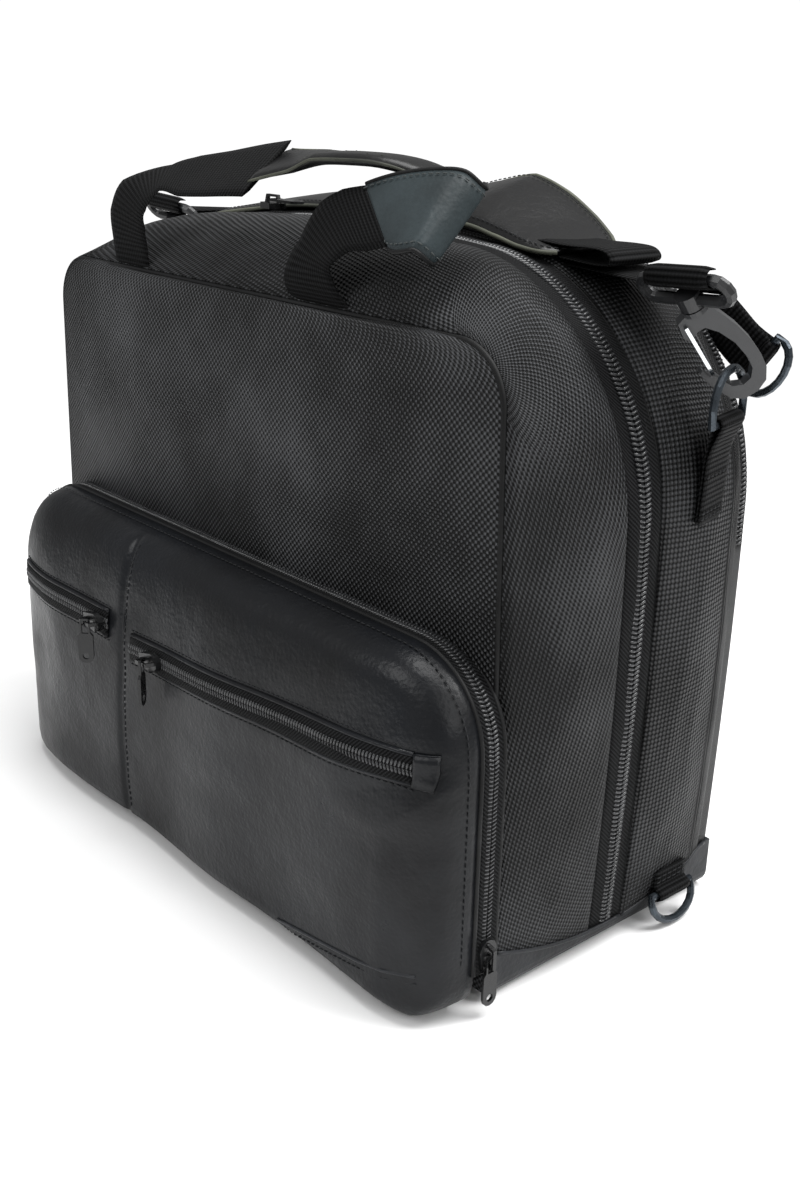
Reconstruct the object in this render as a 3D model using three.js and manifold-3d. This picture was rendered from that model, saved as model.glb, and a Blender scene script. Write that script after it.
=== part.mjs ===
// Soft-sided flight bag: a leather pocket and a squared nylon front that zips open
// like a clamshell, an arched main body, a narrow rear compartment whose back panel
// zips down to mid height, two carry handles and a clipped-on shoulder strap.
// Millimetres, +Z up, front face towards -Y, resting on its leather base at Z = 0.
import * as THREE from 'three';
import { mergeVertices } from 'three/addons/utils/BufferGeometryUtils.js';
import Module from 'manifold-3d';

const wasm = await Module();
wasm.setup();

// ---------- driving dimensions ----------
const BAG_WIDTH = 400;
const FRONT_HEIGHT = 321;
const FRONT_CORNER_RADIUS = 14;
const FRONT_TOP_INSET = 9;
const SIDE_BULGE = 6;
const ARCH_HEIGHT = 346;
const ARCH_CROWN = 7;
const ARCH_RADIUS = 118;
const BACK_TAPER = 4;
const BOOT_HEIGHT = 30;
const BOOT_CORNER_RADIUS = 10;
const WALL = 3;
const TAPE_WALL = 1.8;
const TAPE_INSET = 0.6;
const GAP = 0.35;

// planes across the depth, measured from the front panel's face
const FRONT_TAPE_Y = 67;
const MAIN_ZIP_Y = 81;
const REAR_TAPE_Y = 93;
const PIPING_Y = 147;
const REAR_ZIP_FRONT_Y = 156;
const REAR_ZIP_Y = 161;
const REAR_ZIP_BACK_Y = 165.5;
const BACK_Y = 171;
const REAR_FLAP_Z = 206;

// leather pocket on the front
const POCKET_HALF_WIDTH = 204;
const POCKET_TOP = 184;
const POCKET_FLOOR = 3;
const POCKET_CORNER_RADIUS = 46;
const POCKET_RIM_Y = -15;
const POCKET_ZIP_Y = -8;
const POCKET_SEAM_X = -60;
const POCKET_FACE_Y = -50;
const POCKET_ZIP_SLOT = 15;
const LEFT_ZIP = { from: -184, to: -72, fromZ: 127, toZ: 127 };
const RIGHT_ZIP = { from: -48, to: 186, fromZ: 120.5, toZ: 135 };

// webbing and hardware
const HANDLE_WEBBING = 45;
const HANDLE_CENTRE_X = -20;
const HANDLE_HALF_SPAN = 88;
const STRAP_WEBBING = 38;
const PAD_WIDTH = 58;
const TAB_WEBBING = 25;
const TAB_THICKNESS = 1.5;
const RING_WIRE = 2.1;
const STRAP_RING_WIRE = 2.9;
const TAB_Y = 124;

// ---------- materials ----------
const paint = (color, roughness, metalness = 0) =>
  new THREE.MeshStandardMaterial({ color, roughness, metalness });

const NYLON = () => paint(0x1b1d1f, 0.75);
const WEBBING = () => paint(0x161718, 0.85);
const LEATHER = () => paint(0x202224, 0.42);
const ZIP_TAPE = () => paint(0x141516, 0.8);
const PLASTIC = () => paint(0x1d1f22, 0.38);
const GUNMETAL = () => paint(0x3a3d40, 0.35, 0.85);
const CHROME = () => paint(0xd0d2d4, 0.12, 1);
const LINING = () => paint(0x2b2d30, 0.8);
const BOARD = () => paint(0x242424, 0.7);

// ---------- directions ----------
const X = new THREE.Vector3(1, 0, 0);
const Y = new THREE.Vector3(0, 1, 0);
const Z = new THREE.Vector3(0, 0, 1);
const LEFT = X.clone().negate();
const FRONT = Y.clone().negate();
const DOWN = Z.clone().negate();

// ---------- geometry helpers ----------
const bag = new THREE.Group();

function addPart(name, geometry, material) {
  const mesh = new THREE.Mesh(geometry, material);
  mesh.name = name;
  bag.add(mesh);
  return mesh;
}

// A left-hand copy of a right-hand piece, mirrored in the bag's middle plane.
function addMirrored(name, geometry, material) {
  const mesh = addPart(name, geometry, material);
  mesh.scale.x = -1;
  return mesh;
}

const along = (a, b, t) => a + (b - a) * t;

function signedVolume(points, faces) {
  let volume = 0;
  for (const [a, b, c] of faces) {
    volume += points[a].dot(new THREE.Vector3().crossVectors(points[b], points[c])) / 6;
  }
  return volume;
}

// One closed body from shared points and triangles, turned to face outwards.
function closedBody(points, faces) {
  const outward = signedVolume(points, faces) > 0
    ? faces
    : faces.map(([a, b, c]) => [a, c, b]);
  const geometry = new THREE.BufferGeometry().setFromPoints(points);
  geometry.setIndex(outward.flat());
  geometry.computeVertexNormals();
  return geometry;
}

// A sheet with thickness: two matching grids of points, joined round their borders.
function slab(outer, inner) {
  const rows = outer.length;
  const columns = outer[0].length;
  const points = [...outer.flat(), ...inner.flat()];
  const top = (i, j) => i * columns + j;
  const under = (i, j) => rows * columns + i * columns + j;
  const faces = [];
  const quad = (a, b, c, d) => faces.push([a, b, c], [a, c, d]);
  for (let i = 0; i < rows - 1; i++) {
    for (let j = 0; j < columns - 1; j++) {
      quad(top(i, j), top(i + 1, j), top(i + 1, j + 1), top(i, j + 1));
      quad(under(i, j), under(i, j + 1), under(i + 1, j + 1), under(i + 1, j));
    }
    quad(top(i, 0), under(i, 0), under(i + 1, 0), top(i + 1, 0));
    quad(top(i, columns - 1), top(i + 1, columns - 1), under(i + 1, columns - 1), under(i, columns - 1));
  }
  for (let j = 0; j < columns - 1; j++) {
    quad(top(0, j), top(0, j + 1), under(0, j + 1), under(0, j));
    quad(top(rows - 1, j), under(rows - 1, j), under(rows - 1, j + 1), top(rows - 1, j + 1));
  }
  return closedBody(points, faces);
}

// A solid through closed loops of equal length, with a fan over each end.
function loftSolid(loops) {
  const count = loops[0].length;
  const points = loops.flat();
  const faces = [];
  for (let i = 0; i < loops.length - 1; i++) {
    for (let j = 0; j < count; j++) {
      const a = i * count + j;
      const b = i * count + (j + 1) % count;
      faces.push([a, b, b + count], [a, b + count, a + count]);
    }
  }
  const ends = [
    [loops[0], 0, true],
    [loops.at(-1), (loops.length - 1) * count, false],
  ];
  for (const [loop, first, turned] of ends) {
    const middle = points.length;
    const centre = loop.reduce((sum, p) => sum.add(p), new THREE.Vector3()).divideScalar(count);
    points.push(centre);
    for (let j = 0; j < count; j++) {
      const a = first + j;
      const b = first + (j + 1) % count;
      faces.push(turned ? [middle, b, a] : [middle, a, b]);
    }
  }
  return closedBody(points, faces);
}

// A wire bent round a closed path, with an eight-sided section.
function closedWire(path, radius, planeNormal, sides = 8) {
  const count = path.length;
  const points = [];
  for (let i = 0; i < count; i++) {
    const tangent = path[(i + 1) % count].clone().sub(path[(i + count - 1) % count]).normalize();
    const across = new THREE.Vector3().crossVectors(tangent, planeNormal).normalize();
    for (let k = 0; k < sides; k++) {
      const angle = (k / sides) * 2 * Math.PI;
      points.push(path[i].clone()
        .addScaledVector(across, radius * Math.cos(angle))
        .addScaledVector(planeNormal, radius * Math.sin(angle)));
    }
  }
  const faces = [];
  for (let i = 0; i < count; i++) {
    for (let k = 0; k < sides; k++) {
      const a = i * sides + k;
      const b = i * sides + (k + 1) % sides;
      const c = ((i + 1) % count) * sides + (k + 1) % sides;
      const d = ((i + 1) % count) * sides + k;
      faces.push([a, b, c], [a, c, d]);
    }
  }
  return closedBody(points, faces);
}

// Points round part of a circle, both ends included.
function arcPoints(x, y, radius, fromAngle, toAngle, steps) {
  const points = [];
  for (let i = 0; i <= steps; i++) {
    const angle = along(fromAngle, toAngle, i / steps);
    points.push([x + radius * Math.cos(angle), y + radius * Math.sin(angle)]);
  }
  return points;
}

// A flat shape from points listed anticlockwise, with holes listed the same way.
function flatShape(points, holes = []) {
  const toVectors = (list) => list.map(([x, y]) => new THREE.Vector2(x, y));
  const shape = new THREE.Shape(toVectors(points));
  shape.holes = holes.map((hole) => new THREE.Path(toVectors(hole)));
  return shape;
}

// A flat outline given depth, laid out on its own three directions.
function plate(shape, depth, origin, right, up) {
  const normal = new THREE.Vector3().crossVectors(right, up).normalize();
  const frame = new THREE.Matrix4().makeBasis(right.clone().normalize(), up.clone().normalize(), normal);
  frame.setPosition(origin);
  return new THREE.ExtrudeGeometry(shape, { depth, bevelEnabled: false }).applyMatrix4(frame);
}

function toManifold(geometry) {
  const bare = new THREE.BufferGeometry();
  bare.setAttribute('position', geometry.getAttribute('position').clone());
  if (geometry.index) bare.setIndex(geometry.index.clone());
  const merged = mergeVertices(bare, 1e-4);
  return new wasm.Manifold(new wasm.Mesh({
    numProp: 3,
    vertProperties: merged.attributes.position.array,
    triVerts: new Uint32Array(merged.index.array),
  }));
}

function fromManifold(solid) {
  const mesh = solid.getMesh();
  const geometry = new THREE.BufferGeometry();
  geometry.setAttribute('position', new THREE.BufferAttribute(mesh.vertProperties, 3));
  geometry.setIndex(new THREE.BufferAttribute(mesh.triVerts, 1));
  geometry.computeVertexNormals();
  return geometry;
}

const join = (a, b) => fromManifold(toManifold(a).add(toManifold(b)));
const cut = (a, b) => fromManifold(toManifold(a).subtract(toManifold(b)));
const common = (a, b) => fromManifold(toManifold(a).intersect(toManifold(b)));

// A box between two corners.
function block(x0, y0, z0, x1, y1, z1) {
  const box = new THREE.BoxGeometry(x1 - x0, y1 - y0, z1 - z0);
  return box.translate((x0 + x1) / 2, (y0 + y1) / 2, (z0 + z1) / 2);
}

// ---------- outlines of the body ----------
// How the body's cross-section changes from the squared front to the full arch.
function sectionAt(y) {
  const t = Math.min(Math.max(y / FRONT_TAPE_Y, 0), 1);
  const ease = Math.sin(t * Math.PI / 2);
  const taper = Math.max(y - PIPING_Y, 0) / (BACK_Y - PIPING_Y);
  return {
    foot: BAG_WIDTH / 2 + ease * 2 - BACK_TAPER * taper,
    halfWidth: BAG_WIDTH / 2 - FRONT_TOP_INSET * (1 - ease) + 2 * ease - BACK_TAPER * taper,
    bulge: SIDE_BULGE * ease * (1 - taper / 2),
    height: along(FRONT_HEIGHT, ARCH_HEIGHT, ease) - 3 * taper,
    radius: along(FRONT_CORNER_RADIUS, ARCH_RADIUS, Math.pow(t, 0.8)),
    crown: ARCH_CROWN * ease,
  };
}

const SIDE_STEPS = 4;
const CORNER_STEPS = 6;
const TOP_STEPS = 6;

// An inverted U at depth y: up the right side, over the top and down the left.
function archOutline(y, inset, footZ) {
  const s = sectionAt(y);
  const half = [];
  const springZ = s.height - s.radius;
  const sideAt = (z) => along(s.foot, s.halfWidth, z / s.height) + s.bulge * Math.sin(Math.PI * z / s.height);
  for (let i = 0; i < SIDE_STEPS; i++) {
    const z = along(footZ, springZ, i / SIDE_STEPS);
    half.push([sideAt(z) - inset, z]);
  }
  const centreX = sideAt(springZ) - s.radius;
  for (let i = 0; i <= CORNER_STEPS; i++) {
    const angle = (i / CORNER_STEPS) * Math.PI / 2;
    const r = s.radius - inset;
    const lift = s.crown * Math.pow(Math.sin(angle), 3) * 0.4;
    half.push([centreX + r * Math.cos(angle), springZ + r * Math.sin(angle) + lift]);
  }
  for (let i = 1; i <= TOP_STEPS / 2; i++) {
    const t = i / (TOP_STEPS / 2);
    half.push([centreX * (1 - t), s.height - inset + s.crown * (0.4 + 0.6 * (1 - (1 - t) ** 2))]);
  }
  const mirrored = half.slice(0, -1).reverse().map(([x, z]) => [-x, z]);
  return [...half, ...mirrored].map(([x, z]) => new THREE.Vector3(x, y, z));
}

// A band of the body's skin between two depths.
function archBand(fromY, toY, steps, thickness, footZ, outerInset = 0) {
  const outer = [];
  const inner = [];
  for (let i = 0; i <= steps; i++) {
    const y = along(fromY, toY, i / steps);
    outer.push(archOutline(y, outerInset, footZ));
    inner.push(archOutline(y, outerInset + thickness, footZ));
  }
  return slab(outer, inner);
}

// A flat panel that fills the arch at one depth.
function archPanel(y, depth, inset, footZ) {
  const outline = archOutline(y, inset, footZ);
  const shape = flatShape(outline.map((p) => [p.x, p.z]));
  return plate(shape, depth, new THREE.Vector3(0, y + depth, 0), X, Z);
}

// ---------- base ----------
function bootProfile(inset, top) {
  const half = BAG_WIDTH / 2 + 1 - inset;
  const r = BOOT_CORNER_RADIUS - inset;
  return flatShape([
    [half, top],
    [-half, top],
    ...arcPoints(-half + r, inset + r, r, Math.PI, 1.5 * Math.PI, 5),
    ...arcPoints(half - r, inset + r, r, 1.5 * Math.PI, 2 * Math.PI, 5),
  ]);
}

function buildBase() {
  const front = WALL + GAP;
  const back = BACK_Y;
  const outer = plate(bootProfile(0, BOOT_HEIGHT), back - front, new THREE.Vector3(0, back, 0), X, Z);
  const hollowFrom = front + WALL;
  const hollowTo = back - WALL;
  const hollow = plate(bootProfile(WALL, BOOT_HEIGHT + WALL), hollowTo - hollowFrom,
    new THREE.Vector3(0, hollowTo, 0), X, Z);
  addPart('base_boot', cut(outer, hollow), LEATHER());
  const margin = 26;
  const boardTop = WALL + GAP + 3;
  addPart('base_board', block(-BAG_WIDTH / 2 + margin, hollowFrom + 2, WALL + GAP,
    BAG_WIDTH / 2 - margin, hollowTo - 2, boardTop), BOARD());
}

// ---------- clamshell front ----------
const BODY_FOOT = BOOT_HEIGHT + GAP;

function buildFront() {
  const panel = archPanel(0, WALL, 0, POCKET_FLOOR + 1);
  addPart('front_panel', panel, NYLON());
  addPart('front_gusset', archBand(WALL + GAP, FRONT_TAPE_Y - GAP, 4, WALL, BODY_FOOT), NYLON());
  const tape = archBand(FRONT_TAPE_Y, MAIN_ZIP_Y - GAP / 2, 1, TAPE_WALL, BODY_FOOT, TAPE_INSET);
  addPart('main_zip_front_tape', tape, ZIP_TAPE());
}

function buildBody() {
  const tape = archBand(MAIN_ZIP_Y + GAP / 2, REAR_TAPE_Y, 1, TAPE_WALL, BODY_FOOT, TAPE_INSET);
  addPart('main_zip_rear_tape', tape, ZIP_TAPE());
  addPart('rear_gusset', archBand(REAR_TAPE_Y + GAP, PIPING_Y - GAP, 2, WALL, BODY_FOOT), NYLON());
  addPart('divider_panel', archPanel(PIPING_Y, WALL, 0.5, BODY_FOOT), LINING());
  const bandFront = PIPING_Y + WALL + GAP;
  addPart('rear_band', archBand(bandFront, REAR_ZIP_FRONT_Y - GAP, 1, WALL, BODY_FOOT), NYLON());
  addPart('rear_zip_front_tape', archBand(REAR_ZIP_FRONT_Y, REAR_ZIP_Y - GAP / 2, 1, TAPE_WALL,
    REAR_FLAP_Z + 1, 0.6), ZIP_TAPE());
}

// The back panel is one shell, split at mid height: the part above the split folds back.
function buildBack() {
  const backPanel = archPanel(BACK_Y - WALL, WALL, 0, BODY_FOOT);
  const lowerRim = archBand(REAR_ZIP_FRONT_Y, BACK_Y - WALL / 2, 1, WALL, BODY_FOOT);
  const upperRim = archBand(REAR_ZIP_BACK_Y + GAP, BACK_Y - WALL / 2, 1, WALL, BODY_FOOT);
  const reach = BAG_WIDTH;
  const below = block(-reach, 0, 0, reach, reach, REAR_FLAP_Z);
  const above = block(-reach, 0, REAR_FLAP_Z + GAP, reach, reach, reach);
  addPart('back_panel_lower', common(join(backPanel, lowerRim), below), NYLON());
  addPart('back_panel_upper', common(join(backPanel, upperRim), above), NYLON());
  addPart('rear_zip_back_tape', archBand(REAR_ZIP_Y + GAP / 2, REAR_ZIP_BACK_Y, 1, TAPE_WALL,
    REAR_FLAP_Z + 1, 0.6), ZIP_TAPE());
}

// ---------- leather pocket ----------
// A rounded rectangle at depth y, drawn in by an inset. Its lower right corner stays fuller.
function pocketLoop(y, inset) {
  const loop = [];
  const bottomRadius = 18;
  const corners = [
    [1, 1, POCKET_CORNER_RADIUS], [-1, 1, POCKET_CORNER_RADIUS],
    [-1, -1, bottomRadius], [1, -1, bottomRadius],
  ];
  corners.forEach(([sx, sz, fullRadius], quarter) => {
    const r = Math.max(fullRadius - inset * 0.5, 8);
    const sideInset = sx > 0 && sz < 0 ? inset * 0.5 : inset;
    const x = sx * (POCKET_HALF_WIDTH - sideInset - r);
    const z = sz > 0 ? POCKET_TOP - inset - r : POCKET_FLOOR + inset * 0.12 + r;
    for (let i = 0; i <= 4; i++) {
      const angle = (quarter + i / 4) * Math.PI / 2;
      loop.push(new THREE.Vector3(x + r * Math.cos(angle), y, z + r * Math.sin(angle)));
    }
  });
  return loop;
}

// The pocket's profile: how far the leather has drawn in at each depth.
const POCKET_CROWN = [
  [POCKET_RIM_Y, 0], [-25, 1.5], [-33, 6], [-38, 14], [-44, 34], [POCKET_FACE_Y, 66],
];

function buildPocketShell() {
  const outer = loftSolid(POCKET_CROWN.map(([y, inset]) => pocketLoop(y, inset)));
  const thickness = 2.6;
  const hollow = loftSolid([
    pocketLoop(POCKET_RIM_Y + 2, thickness),
    ...POCKET_CROWN.map(([y, inset]) => pocketLoop(y + thickness, inset + thickness)),
  ]);
  return cut(outer, hollow);
}

const SLOT_OVERRUN = 10;

function buildPocket() {
  const slotHalf = POCKET_ZIP_SLOT / 2;
  const slotBack = POCKET_RIM_Y - 12;
  const slotDepth = slotBack - POCKET_FACE_Y + SLOT_OVERRUN;
  let shell = toManifold(buildPocketShell());
  for (const { from, to, fromZ, toZ } of [LEFT_ZIP, RIGHT_ZIP]) {
    const slot = flatShape([
      [from, fromZ - slotHalf], [to, toZ - slotHalf], [to, toZ + slotHalf], [from, fromZ + slotHalf],
    ]);
    shell = shell.subtract(toManifold(plate(slot, slotDepth, new THREE.Vector3(0, slotBack, 0), X, Z)));
  }
  const leather = fromManifold(shell);
  const reach = BAG_WIDTH;
  const leftHalf = block(-reach, -reach, -reach, POCKET_SEAM_X - GAP / 2, 0, reach);
  const rightHalf = block(POCKET_SEAM_X + GAP / 2, -reach, -reach, reach, 0, reach);
  addPart('pocket_panel_left', common(leather, leftHalf), LEATHER());
  addPart('pocket_panel_right', common(leather, rightHalf), LEATHER());

  // zips across the leather, each lying in its slot
  addPart('pocket_left_zip', pocketZip(LEFT_ZIP), ZIP_TAPE());
  addPart('pocket_right_zip', pocketZip(RIGHT_ZIP), ZIP_TAPE());

  // the zip that runs round the pocket, one tape on each side of its teeth
  addPart('pocket_zip_outer_tape', pocketBand(POCKET_RIM_Y + GAP, POCKET_ZIP_Y - GAP / 2), ZIP_TAPE());
  addPart('pocket_zip_inner_tape', pocketBand(POCKET_ZIP_Y + GAP / 2, -GAP), ZIP_TAPE());
}

// Depth of the pocket's outer face at a place along its zip line.
function pocketFaceAt(x) {
  const inset = POCKET_HALF_WIDTH - Math.abs(x);
  for (let i = 1; i < POCKET_CROWN.length; i++) {
    const [y0, inset0] = POCKET_CROWN[i - 1];
    const [y1, inset1] = POCKET_CROWN[i];
    if (inset <= inset1) return along(y0, y1, (inset - inset0) / (inset1 - inset0));
  }
  return POCKET_FACE_Y;
}

// A zip strip that follows the pocket's face, a little below its surface.
function pocketZip({ from, to, fromZ, toZ }) {
  const sink = 0.9;
  const steps = 8;
  const half = POCKET_ZIP_SLOT / 2 - GAP;
  const outer = [];
  const inner = [];
  for (let i = 0; i <= steps; i++) {
    const x = along(from + GAP, to - GAP, i / steps);
    const y = pocketFaceAt(x) + sink;
    const z = along(fromZ, toZ, i / steps);
    outer.push([half, -half].map((rise) => new THREE.Vector3(x, y, z + rise)));
    inner.push([half, -half].map((rise) => new THREE.Vector3(x, y + TAPE_WALL, z + rise)));
  }
  return slab(outer, inner);
}

// An inverted U of tape round the pocket's rim.
function pocketBand(fromY, toY) {
  const foot = 24;
  const rimAt = (y, inset) => {
    const over = pocketLoop(y, inset).slice(0, 10);
    const lowRight = over[0].clone().setZ(foot);
    const lowLeft = over.at(-1).clone().setZ(foot);
    return [lowRight, ...over, lowLeft];
  };
  const outer = [fromY, toY].map((y) => rimAt(y, 1));
  const inner = [fromY, toY].map((y) => rimAt(y, 1 + TAPE_WALL));
  return slab(outer, inner);
}

// ---------- zip sliders and pull tabs ----------
const SLIDER_HALF_LENGTH = 8.5;
const SLIDER_HALF_WIDTH = 5.5;
const SLIDER_BASE = 3.4;
const BRIDGE_CREST = 8;
const BRIDGE_UNDERSIDE = 6.7;
const BRIDGE_WIDTH = 2.2;
const PULL_LENGTH = 27;
const PULL_HALF_WIDTH = 4.5;
const PULL_THICKNESS = 1.5;
const PULL_BAR = 1.2;

// Slider: a shield-shaped base under a bridge. X along the zip, Z away from it.
function sliderGeometry() {
  const a = SLIDER_HALF_LENGTH;
  const b = SLIDER_HALF_WIDTH;
  const shield = flatShape([
    [-a, -b * 0.6], [a * 0.4, -b], [a * 0.8, -b * 0.75], [a, -b * 0.25],
    [a, b * 0.25], [a * 0.8, b * 0.75], [a * 0.4, b], [-a, b * 0.6],
  ]);
  const base = new THREE.ExtrudeGeometry(shield, { depth: SLIDER_BASE, bevelEnabled: false });
  const sunk = SLIDER_BASE - 0.6;
  const floor = SLIDER_BASE + 0.1;
  const bridgeShape = flatShape(
    [[-a * 0.85, sunk], [a * 0.8, sunk], [a * 0.6, BRIDGE_CREST], [-a * 0.65, BRIDGE_CREST]],
    [[[-a * 0.6, floor], [a * 0.55, floor], [a * 0.45, BRIDGE_UNDERSIDE], [-a * 0.5, BRIDGE_UNDERSIDE]]],
  );
  const bridge = plate(bridgeShape, BRIDGE_WIDTH, new THREE.Vector3(0, BRIDGE_WIDTH / 2, 0), X, Z);
  return join(base, bridge);
}

// Pull: the bar of its eye lies on the origin and the tab hangs along -Y.
function pullGeometry() {
  const half = PULL_HALF_WIDTH;
  const arm = 2.9;
  const eyeHalf = 1.9;
  const bar = PULL_BAR / 2;
  const eyeEnd = -8.4;
  const tipY = -PULL_LENGTH + half;
  const shape = flatShape(
    [[-eyeHalf, bar], [-arm, -0.5], [-arm, eyeEnd + 0.6], [-half, eyeEnd - 1.5],
      ...arcPoints(0, tipY, half, Math.PI, 2 * Math.PI, 6),
      [half, eyeEnd - 1.5], [arm, eyeEnd + 0.6], [arm, -0.5], [eyeHalf, bar]],
    [
      [[-eyeHalf, eyeEnd], [eyeHalf, eyeEnd], [eyeHalf, -bar], [-eyeHalf, -bar]],
      arcPoints(0, tipY, 2.2, 0.12 * Math.PI, 1.87 * Math.PI, 7),
    ],
  );
  return new THREE.ExtrudeGeometry(shape, { depth: PULL_THICKNESS, bevelEnabled: false })
    .translate(0, 0, -PULL_THICKNESS / 2);
}

// A slider on a zip that runs along "run", with its bridge standing towards "out".
function addSlider(name, place, run, out) {
  const side = new THREE.Vector3().crossVectors(out, run);
  const frame = new THREE.Matrix4().makeBasis(run, side, out).setPosition(place);
  addPart(name, sliderGeometry().applyMatrix4(frame), PLASTIC());
}

// A pull tab hanging from its bar's centre towards "down", its flat side facing "face".
function addPull(name, barCentre, down, face) {
  const across = new THREE.Vector3().crossVectors(face, down);
  const frame = new THREE.Matrix4().makeBasis(across, down.clone().negate(), face).setPosition(barCentre);
  addPart(name, pullGeometry().applyMatrix4(frame), PLASTIC());
}

// The pull lies along its zip, its bar threaded under the bridge.
function addFlatPull(name, place, down, out) {
  const underBridge = (SLIDER_BASE + BRIDGE_UNDERSIDE) / 2;
  addPull(name, place.clone().addScaledVector(out, underBridge), down, out);
}

// The pull hangs across its zip, its eye round the bridge's crest.
function addHangingPull(name, place, out, face) {
  const crest = (BRIDGE_CREST + BRIDGE_UNDERSIDE) / 2;
  const rise = BRIDGE_WIDTH / 2 + PULL_BAR / 2 + GAP;
  addPull(name, place.clone().addScaledVector(out, crest).addScaledVector(Z, rise), DOWN, face);
}

const TOP_SURFACE_Z = ARCH_HEIGHT + ARCH_CROWN;
const PARKED_X = -84;
const POCKET_SLIDER_Z = 34;
const LEFT_SLIDER_X = -82;
const RIGHT_SLIDER_X = -20;

function buildSliders() {
  const main = new THREE.Vector3(PARKED_X, MAIN_ZIP_Y, TOP_SURFACE_Z);
  addSlider('main_slider', main, X, Z);
  addFlatPull('main_pull', main, X, Z);
  const rear = new THREE.Vector3(PARKED_X, REAR_ZIP_Y, TOP_SURFACE_Z - 1);
  addSlider('rear_slider', rear, X, Z);
  addFlatPull('rear_pull', rear, LEFT, Z);
  const pocket = new THREE.Vector3(POCKET_HALF_WIDTH - 1 + GAP, POCKET_ZIP_Y, POCKET_SLIDER_Z);
  addSlider('pocket_slider', pocket, Z, X);
  addFlatPull('pocket_pull', pocket, DOWN, X);
  const left = new THREE.Vector3(LEFT_SLIDER_X, POCKET_FACE_Y - GAP, LEFT_ZIP.fromZ);
  addSlider('left_zip_slider', left, X, FRONT);
  addHangingPull('left_zip_pull', left, FRONT, new THREE.Vector3(0.72, -0.69, 0).normalize());
  const { from, to, fromZ, toZ } = RIGHT_ZIP;
  const rightRun = new THREE.Vector3(to - from, 0, toZ - fromZ).normalize();
  const rightZ = along(fromZ, toZ, (RIGHT_SLIDER_X - from) / (to - from));
  const right = new THREE.Vector3(RIGHT_SLIDER_X, POCKET_FACE_Y - GAP, rightZ);
  addSlider('right_zip_slider', right, rightRun, FRONT);
  addHangingPull('right_zip_pull', right, FRONT, new THREE.Vector3(0.75, 0.66, 0).normalize());
}

// ---------- webbing ----------
// A station on a webbing strip: its middle, the direction of its width, its width and thickness.
const station = ([x, y, z], [u, v, w], width = HANDLE_WEBBING, thickness = 2.4) => ({
  centre: new THREE.Vector3(x, y, z),
  across: new THREE.Vector3(u, v, w).normalize(),
  width,
  thickness,
});

// Cross-sections of a strip through its stations, smoothed, with extra ones in each span.
function stripSections(stations, perSpan) {
  const curve = new THREE.CatmullRomCurve3(stations.map((s) => s.centre), false, 'centripetal');
  const last = stations.length - 1;
  const sections = [];
  for (let i = 0; i <= last * perSpan; i++) {
    const from = stations[Math.min(Math.floor(i / perSpan), last - 1)];
    const to = stations[Math.min(Math.floor(i / perSpan), last - 1) + 1];
    const t = i / perSpan - Math.min(Math.floor(i / perSpan), last - 1);
    const tangent = curve.getTangent(i / (last * perSpan));
    const across = from.across.clone().lerp(to.across, t).normalize();
    sections.push({
      centre: curve.getPoint(i / (last * perSpan)),
      tangent,
      across,
      normal: new THREE.Vector3().crossVectors(tangent, across).normalize(),
      width: along(from.width, to.width, t),
      thickness: along(from.thickness, to.thickness, t),
    });
  }
  return sections;
}

// A closed strip through some of those cross-sections, drawn back a little at each cut end.
function stripBody(sections, from, to) {
  const outer = [];
  const inner = [];
  for (let i = from; i <= to; i++) {
    const s = sections[i];
    const trim = i === from ? GAP / 2 : i === to ? -GAP / 2 : 0;
    const middle = s.centre.clone().addScaledVector(s.tangent, trim);
    const edge = (side, lift) => middle.clone()
      .addScaledVector(s.across, side * s.width / 2)
      .addScaledVector(s.normal, lift * s.thickness / 2);
    outer.push([edge(-1, 1), edge(1, 1)]);
    inner.push([edge(-1, -1), edge(1, -1)]);
  }
  return slab(outer, inner);
}

const strip = (stations, perSpan = 2) => {
  const sections = stripSections(stations, perSpan);
  return stripBody(sections, 0, sections.length - 1);
};

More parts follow.
